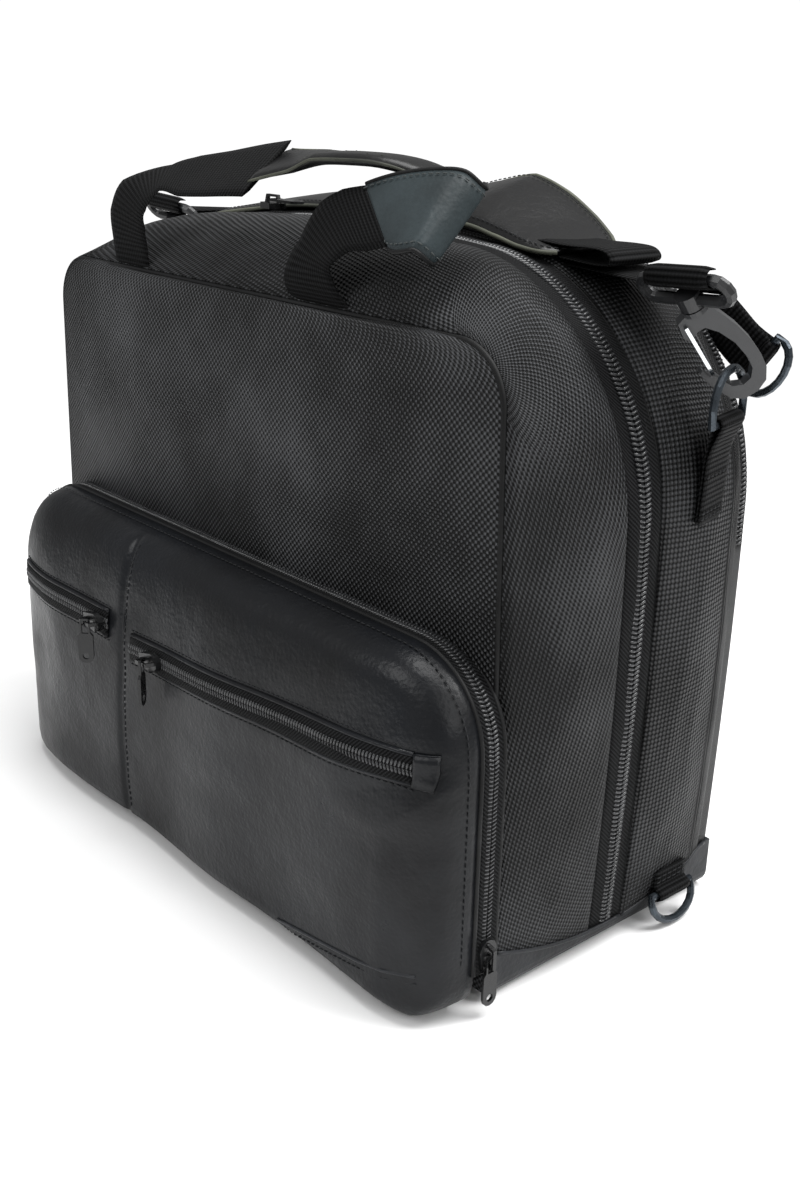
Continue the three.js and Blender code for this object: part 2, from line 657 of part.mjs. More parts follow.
// The front handle flops to the left, its middle rolled into a narrow grip, and folds back
// on itself at the right, where its leather wrap ends.
const LEFT_BASE_X = HANDLE_CENTRE_X - HANDLE_HALF_SPAN;
const RIGHT_BASE_X = HANDLE_CENTRE_X + HANDLE_HALF_SPAN;
const HANDLE_STATIONS = [
  station([LEFT_BASE_X - 2, 1.5, 321.6], [-1, 0, 0], 34),
  station([LEFT_BASE_X - 5, 1.8, 334], [-1, 0.05, 0], 40),
  station([LEFT_BASE_X - 8, 2.5, 348], [-0.98, 0.1, 0.15]),
  station([LEFT_BASE_X - 4, 5, 361], [-0.93, 0.25, 0.3]),
  station([-91, 13, 371.6], [-0.72, 0.65, 0.24]),
  station([-68, 14, 374], [-0.55, 0.7, 0.4]),
  station([-45, 15, 376.5], [-0.4, 0.75, 0.45]),
  station([-22, 17, 379.5], [-0.25, 0.78, 0.52]),
  station([-3, 18.5, 381.5], [-0.15, 0.8, 0.58]),
  station([20, 28, 386], [-0.05, 0.95, 0.3], 32, 4),
  station([37, 28, 388.3], [0, 1, 0.05], 24, 5),
  station([60, 26, 389.4], [0, 1, 0.03], 24, 5),
  station([83, 29, 389], [0, 1, 0], 24, 5),
  station([98, 36, 385.5], [0, 0.98, 0], 24, 5),
  station([108, 41, 379], [0, 0.97, 0.2], 26, 4),
  station([119, 39, 372], [0, 0.85, 0.5], 32, 3.4),
  station([129, 31, 367], [-0.02, 0.75, 0.66], 40, 3),
  station([136, 22.5, 365], [-0.04, 0.7, 0.71], 45, 3),
  station([134, 13, 371.5], [-0.06, 0.7, 0.71], 45, 3),
  station([123, 10.5, 371], [-0.25, 0.62, 0.74], 45, 3),
  station([109, 9.5, 369], [-0.5, 0.5, 0.7], 45, 3),
  station([96, 9, 366.7], [-0.77, 0.33, 0.55], 45, 3),
  station([81, 8, 363.5], [-0.78, 0.3, 0.54]),
  station([66, 7, 358.6], [-0.85, 0.3, 0.4]),
  station([55.5, 4, 346.4], [-0.93, 0.32, 0.17]),
  station([53, 2.2, 336.4], [-0.98, 0.12, 0]),
  station([57, 1.6, 328.5], [-1, 0.02, 0]),
  station([RIGHT_BASE_X - 2, 1.5, 321.6], [-1, 0, 0]),
];
const HANDLE_CUTS = { flapEnd: 9, gripEnd: 16, wrapEnd: 21 };
const ANCHOR_DROP = 53;

function buildFrontHandle() {
  const perSpan = 2;
  const sections = stripSections(HANDLE_STATIONS, perSpan);
  const { flapEnd, gripEnd, wrapEnd } = HANDLE_CUTS;
  const end = HANDLE_STATIONS.length - 1;
  const piece = (from, to) => stripBody(sections, from * perSpan, to * perSpan);
  addPart('front_handle_left_leg', piece(0, flapEnd), WEBBING());
  addPart('front_handle_grip', piece(flapEnd, gripEnd), LEATHER());
  addPart('front_handle_wrap', piece(gripEnd, wrapEnd), LEATHER());
  addPart('front_handle_right_leg', piece(wrapEnd, end), WEBBING());

  // the ends of the webbing, sewn flat behind the front panel
  const top = FRONT_HEIGHT - 7;
  const back = WALL + GAP;
  [['left', LEFT_BASE_X - 12], ['right', RIGHT_BASE_X - 8]].forEach(([side, x]) => {
    const half = HANDLE_WEBBING / 2;
    const anchor = block(x - half, back, top - ANCHOR_DROP, x + half, back + 2, top);
    addPart(`handle_anchor_${side}`, anchor, WEBBING());
  });
}

// The rear handle hangs down flat behind the back panel.
const REAR_HANDLE_Y = BACK_Y + 2.4;
const REAR_HANDLE_TOP = 318;
const REAR_HANDLE_DROP = 246;

function buildRearHandle() {
  const bend = 42;
  const centre = [-HANDLE_HALF_SPAN + bend, REAR_HANDLE_DROP + bend];
  const quarter = arcPoints(...centre, bend, Math.PI, 1.5 * Math.PI, 5);
  const half = [[-HANDLE_HALF_SPAN, REAR_HANDLE_TOP], ...quarter];
  const path = [...half, ...half.slice().reverse().map(([x, z]) => [-x, z])];
  const stations = path.map(([x, z], i) => {
    const before = path[Math.max(i - 1, 0)];
    const after = path[Math.min(i + 1, path.length - 1)];
    return station([x, REAR_HANDLE_Y, z], [before[1] - after[1], 0, after[0] - before[0]], STRAP_WEBBING);
  });
  addPart('rear_handle_webbing', strip(stations, 1), WEBBING());
  const wrapHalf = 46;
  const wrapFace = REAR_HANDLE_Y + 1.2 + GAP;
  addPart('rear_handle_wrap', block(-wrapHalf, wrapFace, REAR_HANDLE_DROP - STRAP_WEBBING / 2 - 1,
    wrapHalf, wrapFace + 2.6, REAR_HANDLE_DROP + STRAP_WEBBING / 2 + 1), LEATHER());
}

// ---------- D-rings and their webbing tabs ----------
// A D in its own plane: a straight bar with an arch over it.
function dPath(halfBar, rise) {
  const side = 0.3;
  const arch = arcPoints(0, rise * side, 1, 0, Math.PI, 10)
    .map(([x, z]) => [x * halfBar, rise * side + (z - rise * side) * rise * (1 - side)]);
  return [[halfBar, 0], ...arch, [-halfBar, 0]];
}

// A webbing strip folded round a bar: u along the strip, v away from what it is sewn to.
const LOOP_CLEARANCE = 0.5;

function foldedTab(length, loopRadius, thickness) {
  const outer = loopRadius + thickness;
  const lift = outer - 0.4;
  return flatShape(
    [[-length, 0], ...arcPoints(0, lift, outer, 1.3 * Math.PI, 2.7 * Math.PI, 9), [-length, thickness * 2]],
    [arcPoints(0, lift, loopRadius, 0.05, 1.8 * Math.PI, 9)],
  );
}

const RING_SLACK = 1.7;
const TAB_LOOP = RING_WIRE + LOOP_CLEARANCE;
const TAB_LIFT = TAB_LOOP + TAB_THICKNESS - 0.4;

// A folded tab and the D-ring it holds, made on the right and mirrored on the left.
// "along" runs from the sewn end to the fold, "out" away from the bag.
function addTab(name, fold, length, along, out, ringDirection, rise) {
  const bar = new THREE.Vector3().crossVectors(along, out);
  const origin = fold.clone().addScaledVector(bar, -TAB_WEBBING / 2);
  const tab = plate(foldedTab(length, TAB_LOOP, TAB_THICKNESS), TAB_WEBBING, origin, along, out);
  const barCentre = fold.clone().addScaledVector(out, TAB_LIFT);
  const halfBar = TAB_WEBBING / 2 + RING_WIRE + RING_SLACK;
  const path = dPath(halfBar, rise).map(([u, v]) => barCentre.clone()
    .addScaledVector(bar, u)
    .addScaledVector(ringDirection, v));
  const ring = closedWire(path, RING_WIRE, new THREE.Vector3().crossVectors(bar, ringDirection));
  addPart(`${name}_tab_right`, tab, WEBBING());
  addMirrored(`${name}_tab_left`, tab.clone(), WEBBING());
  addPart(`${name}_ring_right`, ring, GUNMETAL());
  addMirrored(`${name}_ring_left`, ring.clone(), GUNMETAL());
}

const direction = (x, y, z) => new THREE.Vector3(x, y, z).normalize();
const SIDE_FOLD = new THREE.Vector3(212.4, TAB_Y, 278);
const SIDE_LEAN = direction(0.05, 0, 1);
const SIDE_TURN = THREE.MathUtils.degToRad(12);
const SIDE_OUT = (() => {
  const out = new THREE.Vector3(Math.cos(SIDE_TURN), Math.sin(SIDE_TURN), 0);
  return out.addScaledVector(SIDE_LEAN, -out.dot(SIDE_LEAN)).normalize();
})();
const SIDE_RING_RISE = 25;

function buildTabs() {
  addTab('side', SIDE_FOLD, 50, SIDE_LEAN, SIDE_OUT, Z, SIDE_RING_RISE);
  addTab('bottom', new THREE.Vector3(BAG_WIDTH / 2 + 5.4, 128, 19), 13, DOWN, X, direction(0.3, 0, -1), 16.5);
  const slant = direction(0.8, 0, -0.6);
  addTab('top', new THREE.Vector3(196, BACK_Y + GAP, 298), 38, slant, Y, slant, 15);
}

// ---------- shoulder strap ----------
// The hook lies in a plane of its own: s runs from its collar to its nose, t to its gate.
const HOOK_AXIS = direction(0.08, 0.62, -0.78);
const HOOK_NORMAL = (() => {
  const normal = direction(0.791, -0.527, -0.311);
  return normal.addScaledVector(HOOK_AXIS, -normal.dot(HOOK_AXIS)).normalize();
})();
const HOOK_SIDE = new THREE.Vector3().crossVectors(HOOK_AXIS, HOOK_NORMAL);
const HOOK_SEAT = { s: 41, t: -2.8 };
const HOOK_THICKNESS = 5.2;
const SIDE_BAR = SIDE_FOLD.clone().addScaledVector(SIDE_OUT, TAB_LIFT);
const SIDE_RING_TOP = SIDE_BAR.clone().addScaledVector(Z, SIDE_RING_RISE);
const COLLAR = SIDE_RING_TOP.clone()
  .addScaledVector(HOOK_AXIS, -HOOK_SEAT.s)
  .addScaledVector(HOOK_SIDE, -HOOK_SEAT.t);
const EYE_BAR = (() => {
  const bar = X.clone();
  return bar.addScaledVector(HOOK_AXIS, -bar.dot(HOOK_AXIS)).normalize();
})();
const EYE_NEAR = -3.6;
const EYE_FAR = -15.6;
const EYE_HALF = 21.9 + STRAP_RING_WIRE;

const hookPoint = (s, t, n = 0) => COLLAR.clone()
  .addScaledVector(HOOK_AXIS, s)
  .addScaledVector(HOOK_SIDE, t)
  .addScaledVector(HOOK_NORMAL, n);

// A short round post along the hook's axis.
function axisPost(fromS, toS, radius) {
  const round = flatShape(arcPoints(0, 0, radius, 0.05, 1.9 * Math.PI + 0.05, 15));
  const side = new THREE.Vector3().crossVectors(HOOK_AXIS, EYE_BAR);
  return plate(round, toS - fromS, hookPoint(fromS, 0), EYE_BAR, side);
}

function buildHooks() {
  // the strap's eye: a flattened loop of thick wire, with the collar on its near side
  const middle = (EYE_NEAR + EYE_FAR) / 2;
  const r = (EYE_NEAR - EYE_FAR) / 2;
  const straight = EYE_HALF - r;
  const loop = [
    ...arcPoints(straight, middle, r, -Math.PI / 2, Math.PI / 2, 6),
    ...arcPoints(-straight, middle, r, Math.PI / 2, 1.5 * Math.PI, 6),
  ].map(([u, s]) => hookPoint(s, 0).addScaledVector(EYE_BAR, u));
  const eyeNormal = new THREE.Vector3().crossVectors(EYE_BAR, HOOK_AXIS);
  const eye = join(closedWire(loop, STRAP_RING_WIRE, eyeNormal), axisPost(EYE_NEAR - 4.2, -GAP, 6.2));
  addPart('strap_eye_right', eye, PLASTIC());
  addMirrored('strap_eye_left', eye.clone(), PLASTIC());

  const outline = flatShape([
    [1.5, 5], [1.5, -5], [10, -9.3], [19.5, -13], [30, -15.8], [40, -17], [47.6, -16.7], [54.3, -14],
    [57.8, -8.5], [58.2, -1.5], [54, 4], [46.6, 7.6], [38.5, 10.6], [33.5, 11.4], [32.6, 9.8],
    [37.6, 8.2], [38.4, 5.6], [42.4, 4], [48.2, 1], [50.6, -3.6], [49.2, -8.2], [44.6, -10.8],
    [38, -11], [27.2, -8.8], [17.8, -4.6], [12, 0], [12, 3.6], [14.4, 6.7], [14.6, 8.9],
    [11.7, 10.5], [3.5, 9.9],
  ]);
  const face = hookPoint(0, 0, HOOK_THICKNESS / 2);
  const shank = plate(outline, HOOK_THICKNESS, face, HOOK_AXIS, HOOK_SIDE);
  const hook = join(shank, axisPost(GAP / 2, 2.6, 6.4));
  addPart('hook_right', hook, PLASTIC());
  addMirrored('hook_left', hook.clone(), PLASTIC());
  const gate = gateGeometry();
  addPart('hook_gate_right', gate, CHROME());
  addMirrored('hook_gate_left', gate.clone(), CHROME());
}

// The gate: a wire staple whose two legs run outside the hook and whose end bars its mouth.
const GATE_PIVOT = { s: 7.8, t: 7.5 };
const GATE_TIP = { s: 36, t: 6.3 };
const GATE_WIRE = 1.6;

function gateGeometry() {
  const pivot = hookPoint(GATE_PIVOT.s, GATE_PIVOT.t);
  const tip = hookPoint(GATE_TIP.s, GATE_TIP.t);
  const run = tip.clone().sub(pivot);
  const length = run.length();
  run.normalize();
  const clear = HOOK_THICKNESS / 2 + GAP;
  const half = clear + GATE_WIRE;
  const staple = flatShape([
    [-GATE_WIRE, -half], [length, -half], [length, half], [-GATE_WIRE, half],
    [-GATE_WIRE, clear], [length - GATE_WIRE, clear], [length - GATE_WIRE, -clear], [-GATE_WIRE, -clear],
  ]);
  const lift = new THREE.Vector3().crossVectors(run, HOOK_NORMAL).normalize();
  return plate(staple, GATE_WIRE, pivot.clone().addScaledVector(lift, -GATE_WIRE / 2), run, HOOK_NORMAL);
}

// The strap: a padded sleeve over the arch and a webbing length from each end to its hook.
const PAD_STATIONS = [
  [[-172, 117, 338.5], [0, 1, 0.02]],
  [[-152, 119, 345.5], [0, 1, 0.04]],
  [[-118, 121, 352], [0, 1, 0.08]],
  [[-78, 122, 357.5], [0, 1, 0.1]],
  [[-30, 122, 360.5], [0, 1, 0.1]],
  [[20, 121, 362], [0, 1, 0.12]],
  [[60, 119, 360], [0, 1, 0.12]],
  [[96, 117, 355], [0, 1, 0.04]],
  [[128, 115, 348.6], [0, 1, 0]],
].map(([centre, across]) => station(centre, across, PAD_WIDTH, 7));

// Webbing from a pad end along X, turning towards the front and round the eye's far bar.
const TURN_RADIUS = 25;
const WEB_THICKNESS = 1.8;

function webStations(startX, startZ) {
  const bar = hookPoint(EYE_FAR, 0);
  const wrap = STRAP_RING_WIRE + LOOP_CLEARANCE + WEB_THICKNESS / 2;
  const turnX = bar.x - TURN_RADIUS;
  const turnY = bar.y + 3;
  const top = bar.z + wrap;
  const stations = [];
  const bent = EYE_BAR.toArray();
  const add = (centre, across) => stations.push(station(centre, across, STRAP_WEBBING - 1, WEB_THICKNESS));
  const straight = Math.max(1, Math.round((turnX - startX) / 12));
  for (let i = 0; i < straight; i++) {
    const t = i / straight;
    add([along(startX, turnX, t), turnY + TURN_RADIUS, along(startZ, top, t * t * (3 - 2 * t))], [0, 1, 0]);
  }
  for (const [x, y] of arcPoints(0, 0, 1, Math.PI / 2, 0, 4)) {
    add([turnX + TURN_RADIUS * x, turnY + TURN_RADIUS * y, top], [x, y, 0]);
  }
  for (const [y, z] of arcPoints(0, 0, wrap, Math.PI / 2, 1.5 * Math.PI, 6)) {
    add([bar.x, bar.y + y, bar.z + z], bent);
  }
  add([bar.x, bar.y + 4, bar.z - wrap - 0.2], bent);
  return stations;
}

function buildStrap() {
  addPart('shoulder_pad', strip(PAD_STATIONS), LEATHER());
  const pad = { left: PAD_STATIONS[0].centre, right: PAD_STATIONS.at(-1).centre };
  const slack = 1;
  addPart('strap_webbing_right', strip(webStations(pad.right.x + slack, pad.right.z), 1), WEBBING());
  addMirrored('strap_webbing_left', strip(webStations(slack - pad.left.x, pad.left.z), 1), WEBBING());
}

bag.updateMatrixWorld(true);
buildBase();
buildFront();
buildBody();
buildBack();
buildPocket();
buildSliders();
buildFrontHandle();
buildRearHandle();
buildTabs();
buildHooks();
buildStrap();

// The frame's origin is the middle of the bag's footprint box, on the floor.
const bounds = new THREE.Box3().setFromObject(bag);
const middle = bounds.getCenter(new THREE.Vector3());
bag.position.set(0, -middle.y, 0);

export default bag;
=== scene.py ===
"""Looks of the flight bag: fabric, leather, webbing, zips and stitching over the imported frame."""

import math

import bpy
from mathutils import Matrix, Vector, noise
from mathutils.bvhtree import BVHTree


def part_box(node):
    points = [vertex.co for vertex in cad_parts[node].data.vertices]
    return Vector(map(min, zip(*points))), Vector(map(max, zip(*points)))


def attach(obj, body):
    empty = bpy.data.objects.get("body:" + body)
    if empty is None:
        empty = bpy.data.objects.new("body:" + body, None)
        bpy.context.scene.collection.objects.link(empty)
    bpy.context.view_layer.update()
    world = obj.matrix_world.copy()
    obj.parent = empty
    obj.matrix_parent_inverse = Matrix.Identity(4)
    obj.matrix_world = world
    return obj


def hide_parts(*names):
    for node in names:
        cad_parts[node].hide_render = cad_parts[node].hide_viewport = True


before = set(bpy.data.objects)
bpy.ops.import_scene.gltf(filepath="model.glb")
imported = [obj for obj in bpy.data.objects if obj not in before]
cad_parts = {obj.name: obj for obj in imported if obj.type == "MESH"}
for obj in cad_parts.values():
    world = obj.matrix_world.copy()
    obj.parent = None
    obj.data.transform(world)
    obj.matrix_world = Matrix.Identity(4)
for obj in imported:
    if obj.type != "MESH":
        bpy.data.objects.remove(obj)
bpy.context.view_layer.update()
FACE_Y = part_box("front_panel")[0].y

# ---------- driving dimensions, in millimetres, depth measured from the front panel's face ----------
WIDTH = 400
FRONT_HEIGHT = 321
ARCH_HEIGHT = 346
ARCH_CROWN = 7
FRONT_CORNER = 27
FRONT_TAPE_Y = 67
MAIN_ZIP_Y = 81
REAR_TAPE_Y = 93
PIPING_Y = 147
REAR_ZIP_Y = 161
BACK_Y = 171
BACK_TAPER = 4
REAR_FLAP_Z = 206
BOOT_TOP = 30.4
POCKET_HALF_WIDTH = 204
POCKET_TOP = 184
POCKET_SEAM_X = -60
POCKET_RIM_Y = -15
POCKET_ZIP_Y = -8
HANDLE_WEBBING = 45
STRAP_WEBBING = 38
TAB_WEBBING = 25
STRAP_WIDTH = 37
STRAP_THICKNESS = 1.8
CLOTH = 0.0016  # thickness of the nylon skin, in metres


def place(x, y, z):
    """A point given in millimetres, with its depth from the front panel's face, in the frame's metres."""
    return Vector((x / 1000, FACE_Y + y / 1000, z / 1000))


def mix(a, b, t):
    return a + (b - a) * t


# ---------- camera ----------
def build_camera():
    """The photograph's view: from the front right, a little above the bag, turned slightly clockwise."""
    camera = bpy.data.objects.new("camera", bpy.data.cameras.new("camera"))
    bpy.context.scene.collection.objects.link(camera)
    bpy.context.scene.camera = camera
    camera.data.sensor_fit = "VERTICAL"
    camera.data.sensor_height = 36
    camera.data.lens = 41.75
    camera.location = place(599.6, -414.3, 425.0)
    heading = math.radians(48.7)
    pitch = math.radians(20.5)
    roll = math.radians(1.3)
    level = Vector((math.cos(heading), math.sin(heading), 0))
    ahead = Vector((-math.sin(heading), math.cos(heading), 0))
    forward = ahead * math.cos(pitch) + Vector((0, 0, -math.sin(pitch)))
    upward = level.cross(forward)
    right = level * math.cos(roll) + upward * math.sin(roll)
    up = upward * math.cos(roll) - level * math.sin(roll)
    camera.rotation_euler = Matrix((right, up, -forward)).transposed().to_euler()


build_camera()


# ---------- materials ----------
class Nodes:
    """Short names for the shader nodes that the materials below share."""

    def __init__(self, name):
        self.material = bpy.data.materials.new(name)
        self.material.use_nodes = True
        self.tree = self.material.node_tree
        self.shader = self.tree.nodes["Principled BSDF"]

    def add(self, kind, inputs=(), **settings):
        node = self.tree.nodes.new(kind)
        for key, value in settings.items():
            setattr(node, key, value)
        for key, value in dict(inputs).items():
            if isinstance(value, bpy.types.NodeSocket):
                self.tree.links.new(value, node.inputs[key])
            else:
                node.inputs[key].default_value = value
        return node

    def math(self, operation, a, b=0.0, c=0.5):
        return self.add("ShaderNodeMath", {0: a, 1: b, 2: c}, operation=operation).outputs[0]

    def noise(self, scale, detail=3.0, roughness=0.55):
        coordinates = self.add("ShaderNodeTexCoord").outputs["Object"]
        inputs = {"Vector": coordinates, "Scale": scale, "Detail": detail, "Roughness": roughness}
        return self.add("ShaderNodeTexNoise", inputs).outputs["Fac"]

    def weave_coordinates(self, angle=0.0):
        """Lengths along and across the cloth, in metres, turned by an angle."""
        across = self.add("ShaderNodeUVMap", uv_map="cloth").outputs["UV"]
        inputs = {"Vector": across, "Angle": angle}
        turned = self.add("ShaderNodeVectorRotate", inputs, rotation_type="Z_AXIS")
        split = self.add("ShaderNodeSeparateXYZ", {0: turned.outputs[0]})
        return split.outputs[0], split.outputs[1]

    def wave(self, length, pitch):
        """A smooth wave from 0 to 1 that repeats every pitch metres."""
        phase = self.math("MULTIPLY", length, 2 * math.pi / pitch)
        return self.math("MULTIPLY_ADD", self.math("SINE", phase), 0.5)

    def colours(self, factor, dark, light, low=0.0, high=1.0):
        ramp = self.add("ShaderNodeValToRGB", {"Fac": factor})
        ramp.color_ramp.elements[0].position = low
        ramp.color_ramp.elements[0].color = (*dark, 1)
        ramp.color_ramp.elements[1].position = high
        ramp.color_ramp.elements[1].color = (*light, 1)
        return ramp.outputs["Color"]

    def finish(self, colour, roughness, height=None, depth=0.0003, **constants):
        self.set("Base Color", colour)
        self.set("Roughness", roughness)
        if height is not None:
            bump = self.add("ShaderNodeBump", {"Height": height, "Distance": depth, "Strength": 1.0})
            self.tree.links.new(bump.outputs["Normal"], self.shader.inputs["Normal"])
        for key, value in constants.items():
            self.shader.inputs[key.replace("_", " ")].default_value = value
        return self.material

    def set(self, socket, value):
        if isinstance(value, bpy.types.NodeSocket):
            self.tree.links.new(value, self.shader.inputs[socket])
        elif socket == "Base Color":
            self.shader.inputs[socket].default_value = (*value, 1)
        else:
            self.shader.inputs[socket].default_value = value


def woven(name, pitch, dark, light, angle=0.0, relief=0.0006):
    """Coarse ballistic cloth: rows of raised threads, each row half a step along from the next."""
    n = Nodes(name)
    u, v = n.weave_coordinates(angle)
    along = n.math("SINE", n.math("MULTIPLY", u, 2 * math.pi / pitch))
    across = n.math("SINE", n.math("MULTIPLY", v, 2 * math.pi / pitch))
    thread = n.math("MULTIPLY_ADD", n.math("MULTIPLY", along, across), 0.5)
    # Slow noise patches lift and lower the colour: painted sheen, standing for light caught by folds in the
    # cloth.
    blotch = n.noise(13.0)
    patch_shift = n.math("MULTIPLY", n.math("SUBTRACT", blotch, 0.5), 1.2)
    # The colour also follows the thread height: painted shade in the gaps between threads and painted
    # highlight on the thread tops.
    colour = n.colours(n.math("ADD", thread, patch_shift), dark, light, 0.4, 1.12)
    return n.finish(colour, 0.42, thread, relief, Specular_IOR_Level=0.13, Sheen_Weight=0.01)


def ribbed(name, pitch, dark, light, angle=0.0, relief=0.0007, roughness=0.66):
    """Ribs side by side, each made of short threads."""
    n = Nodes(name)
    u, v = n.weave_coordinates(angle)
    rib = n.wave(v, pitch)
    thread = n.wave(u, pitch * 0.8)
    height = n.math("ADD", n.math("MULTIPLY", rib, 0.8), n.math("MULTIPLY", thread, 0.2))
    blotch = n.noise(14.0)
    patch_shift = n.math("MULTIPLY", n.math("SUBTRACT", blotch, 0.5), 0.5)
    # The colour follows the rib and thread height: painted shade in the grooves and painted highlight on the
    # rib tops.
    colour = n.colours(n.math("ADD", height, patch_shift), dark, light, 0.2, 1.0)
    return n.finish(colour, roughness, height, relief, Specular_IOR_Level=0.06, Sheen_Weight=0.01)


def hide(name, dark, light, roughness, relief=0.0004, coat=0.0, gloss=0.2):
    """Leather: fine pebbled grain and slow cloudy patches that are lighter and smoother, partly the hide's
    own tone and partly painted highlight.
    """
    n = Nodes(name)
    coordinates = n.add("ShaderNodeTexCoord").outputs["Object"]
    cells = n.add("ShaderNodeTexVoronoi", {"Vector": coordinates, "Scale": 520.0}, feature="SMOOTH_F1")
    fold = n.noise(48.0, 6.0, 0.62)
    cloud = n.noise(11.0, 5.0, 0.6)
    grain = n.math("ADD", n.math("MULTIPLY", cells.outputs["Distance"], 0.35), n.math("MULTIPLY", fold, 2.2))
    # The cloud noise lightens the colour in slow patches: partly the leather's own uneven tone, partly
    # painted highlight for its glossy mottled shine.
    colour = n.colours(cloud, dark, light, 0.36, 0.68)
    polish = {"Value": cloud, 1: 0.35, 2: 0.65, 3: roughness + 0.14, 4: roughness - 0.1}
    shine = n.add("ShaderNodeMapRange", polish)
    return n.finish(colour, shine.outputs[0], grain, relief, Specular_IOR_Level=gloss, Coat_Weight=coat,
                    Coat_Roughness=0.3)


def moulded(name, dark, light, roughness, metallic=0.0, relief=0.00006):
    """Moulded plastic or metal: a faint texture and a little handling wear."""
    n = Nodes(name)
    speck = n.noise(900.0, 2.0)
    wear = n.noise(60.0, 4.0)
    rough = n.add("ShaderNodeMapRange", {"Value": wear, 3: roughness - 0.07, 4: roughness + 0.1}).outputs[0]
    return n.finish(n.colours(wear, dark, light, 0.3, 0.7), rough, speck, relief, Metallic=metallic)


def grey(level, blue=1.06):
    return (level * 0.97, level, level * blue)


NYLON_FRONT = woven("nylon_front", 0.0033, grey(0.001), grey(0.08), relief=0.0009)
NYLON_SIDE = woven("nylon_side", 0.0033, grey(0.001), grey(0.056), angle=0.5, relief=0.0009)
NYLON_RIBBED = woven("nylon_ribbed", 0.0036, grey(0.001), grey(0.05), angle=0.75, relief=0.001)
NYLON_PLAIN = woven("nylon_plain", 0.0014, grey(0.002), grey(0.012), relief=0.0003)
WEBBING = ribbed("webbing", 0.0026, grey(0.0005), grey(0.009), relief=0.0008)
TAB_CLOTH = ribbed("tab_webbing", 0.0026, grey(0.0005), grey(0.012), relief=0.0007)
TAPE = ribbed("zip_tape", 0.0016, grey(0.001), grey(0.014), angle=0.8, relief=0.0003)
LEATHER = hide("pocket_leather", (0.0022, 0.0024, 0.003), (0.0095, 0.0105, 0.0125), 0.36)
BOOT_LEATHER = hide("boot_leather", (0.008, 0.0085, 0.0095), (0.03, 0.032, 0.036), 0.4)
PAD_LEATHER = hide("pad_leather", grey(0.0015), grey(0.007), 0.32, coat=0.25)
# The wrap leather is given the brightness its upturned face shows under the overhead light, several times
# lighter than the other leathers: a lit copy of the leather, painted light.
LIT_WRAP_LEATHER = hide("lit_wrap_leather", (0.018, 0.024, 0.026), (0.044, 0.058, 0.063), 0.4)
PIPING = hide("piping", grey(0.002), grey(0.009), 0.5, 0.0001)
LIGHT_EDGE = hide("light_edge", (0.03, 0.032, 0.026), (0.12, 0.125, 0.095), 0.5, 0.0001)
THREAD = ribbed("thread", 0.0008, grey(0.008), grey(0.05), relief=0.0001)
LIGHT_THREAD = ribbed("light_thread", 0.0008, (0.03, 0.034, 0.034), (0.1, 0.11, 0.11), relief=0.0001)
COIL = moulded("zip_coil", grey(0.014), grey(0.04), 0.26)
SLIDER = moulded("slider_plastic", grey(0.003), grey(0.01), 0.26, 0.2)
HOOK = moulded("hook_plastic", grey(0.024), grey(0.038), 0.42)
EYE = moulded("eye_plastic", grey(0.014), grey(0.024), 0.36)
RING = moulded("ring_metal", (0.035, 0.042, 0.05), (0.08, 0.095, 0.11), 0.26, 0.8)
CHROME = moulded("gate_chrome", grey(0.62, 1.05), grey(0.8, 1.0), 0.14, 1.0, 0.00001)
LINING = woven("lining", 0.0012, grey(0.01), grey(0.03), relief=0.0001)
BOARD = hide("board", grey(0.01), grey(0.02), 0.7)


# ---------- pieces ----------
def new_piece(name, points, faces, material, body, cloth=None, replaces=()):
    """A mesh piece that rides on a body. cloth gives each corner's place on the flat cloth, in metres."""
    mesh = bpy.data.meshes.new(name)
    mesh.from_pydata([tuple(p) for p in points], [], faces)
    if cloth is not None:
        layer = mesh.uv_layers.new(name="cloth")
        for loop in mesh.loops:
            layer.data[loop.index].uv = cloth[loop.vertex_index]
    mesh.materials.append(material)
    mesh.polygons.foreach_set("use_smooth", [True] * len(mesh.polygons))
    piece = bpy.data.objects.new(name, mesh)
    bpy.context.scene.collection.objects.link(piece)
    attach(piece, body)
    if replaces:
        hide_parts(*replaces)
    return piece


def lengths(points):
    """Distance along a list of points, from its first."""
    total = [0.0]
    for a, b in zip(points, points[1:]):
        total.append(total[-1] + (b - a).length)
    return total


def grid_faces(rows, columns, wrap=False):
    """Quads between neighbouring rows of points; wrap joins each row's last point to its first."""
    faces = []
    for i in range(rows - 1):
        for j in range(columns if wrap else columns - 1):
            a, b = i * columns + j, i * columns + (j + 1) % columns
            faces.append((a, b, b + columns, a + columns))
    return faces


def sheet_piece(name, rows, thickness, material, body, replaces=()):
    """A skin through rows of points, thickened towards its inner side."""
    columns = len(rows[0])
    points = [p for row in rows for p in row]
    along = lengths(rows[len(rows) // 2])
    across = lengths([row[columns // 2] for row in rows])
    cloth = [(along[j], across[i]) for i in range(len(rows)) for j in range(columns)]
    faces = grid_faces(len(rows), columns)
    piece = new_piece(name, points, faces, material, body, cloth, replaces)
    solid = piece.modifiers.new("thickness", "SOLIDIFY")
    solid.thickness = abs(thickness)
    solid.offset = -1 if thickness > 0 else 1
    return piece


def loft(name, loops, material, body, replaces=(), cloth=None):
    """A closed solid through loops of equal length, with a flat end at each side."""
    count = len(loops[0])
    points = [p for loop in loops for p in loop]
    faces = [tuple(range(count - 1, -1, -1)), tuple(range(len(points) - count, len(points)))]
    faces += grid_faces(len(loops), count, wrap=True)
    return new_piece(name, points, faces, material, body, cloth, replaces)


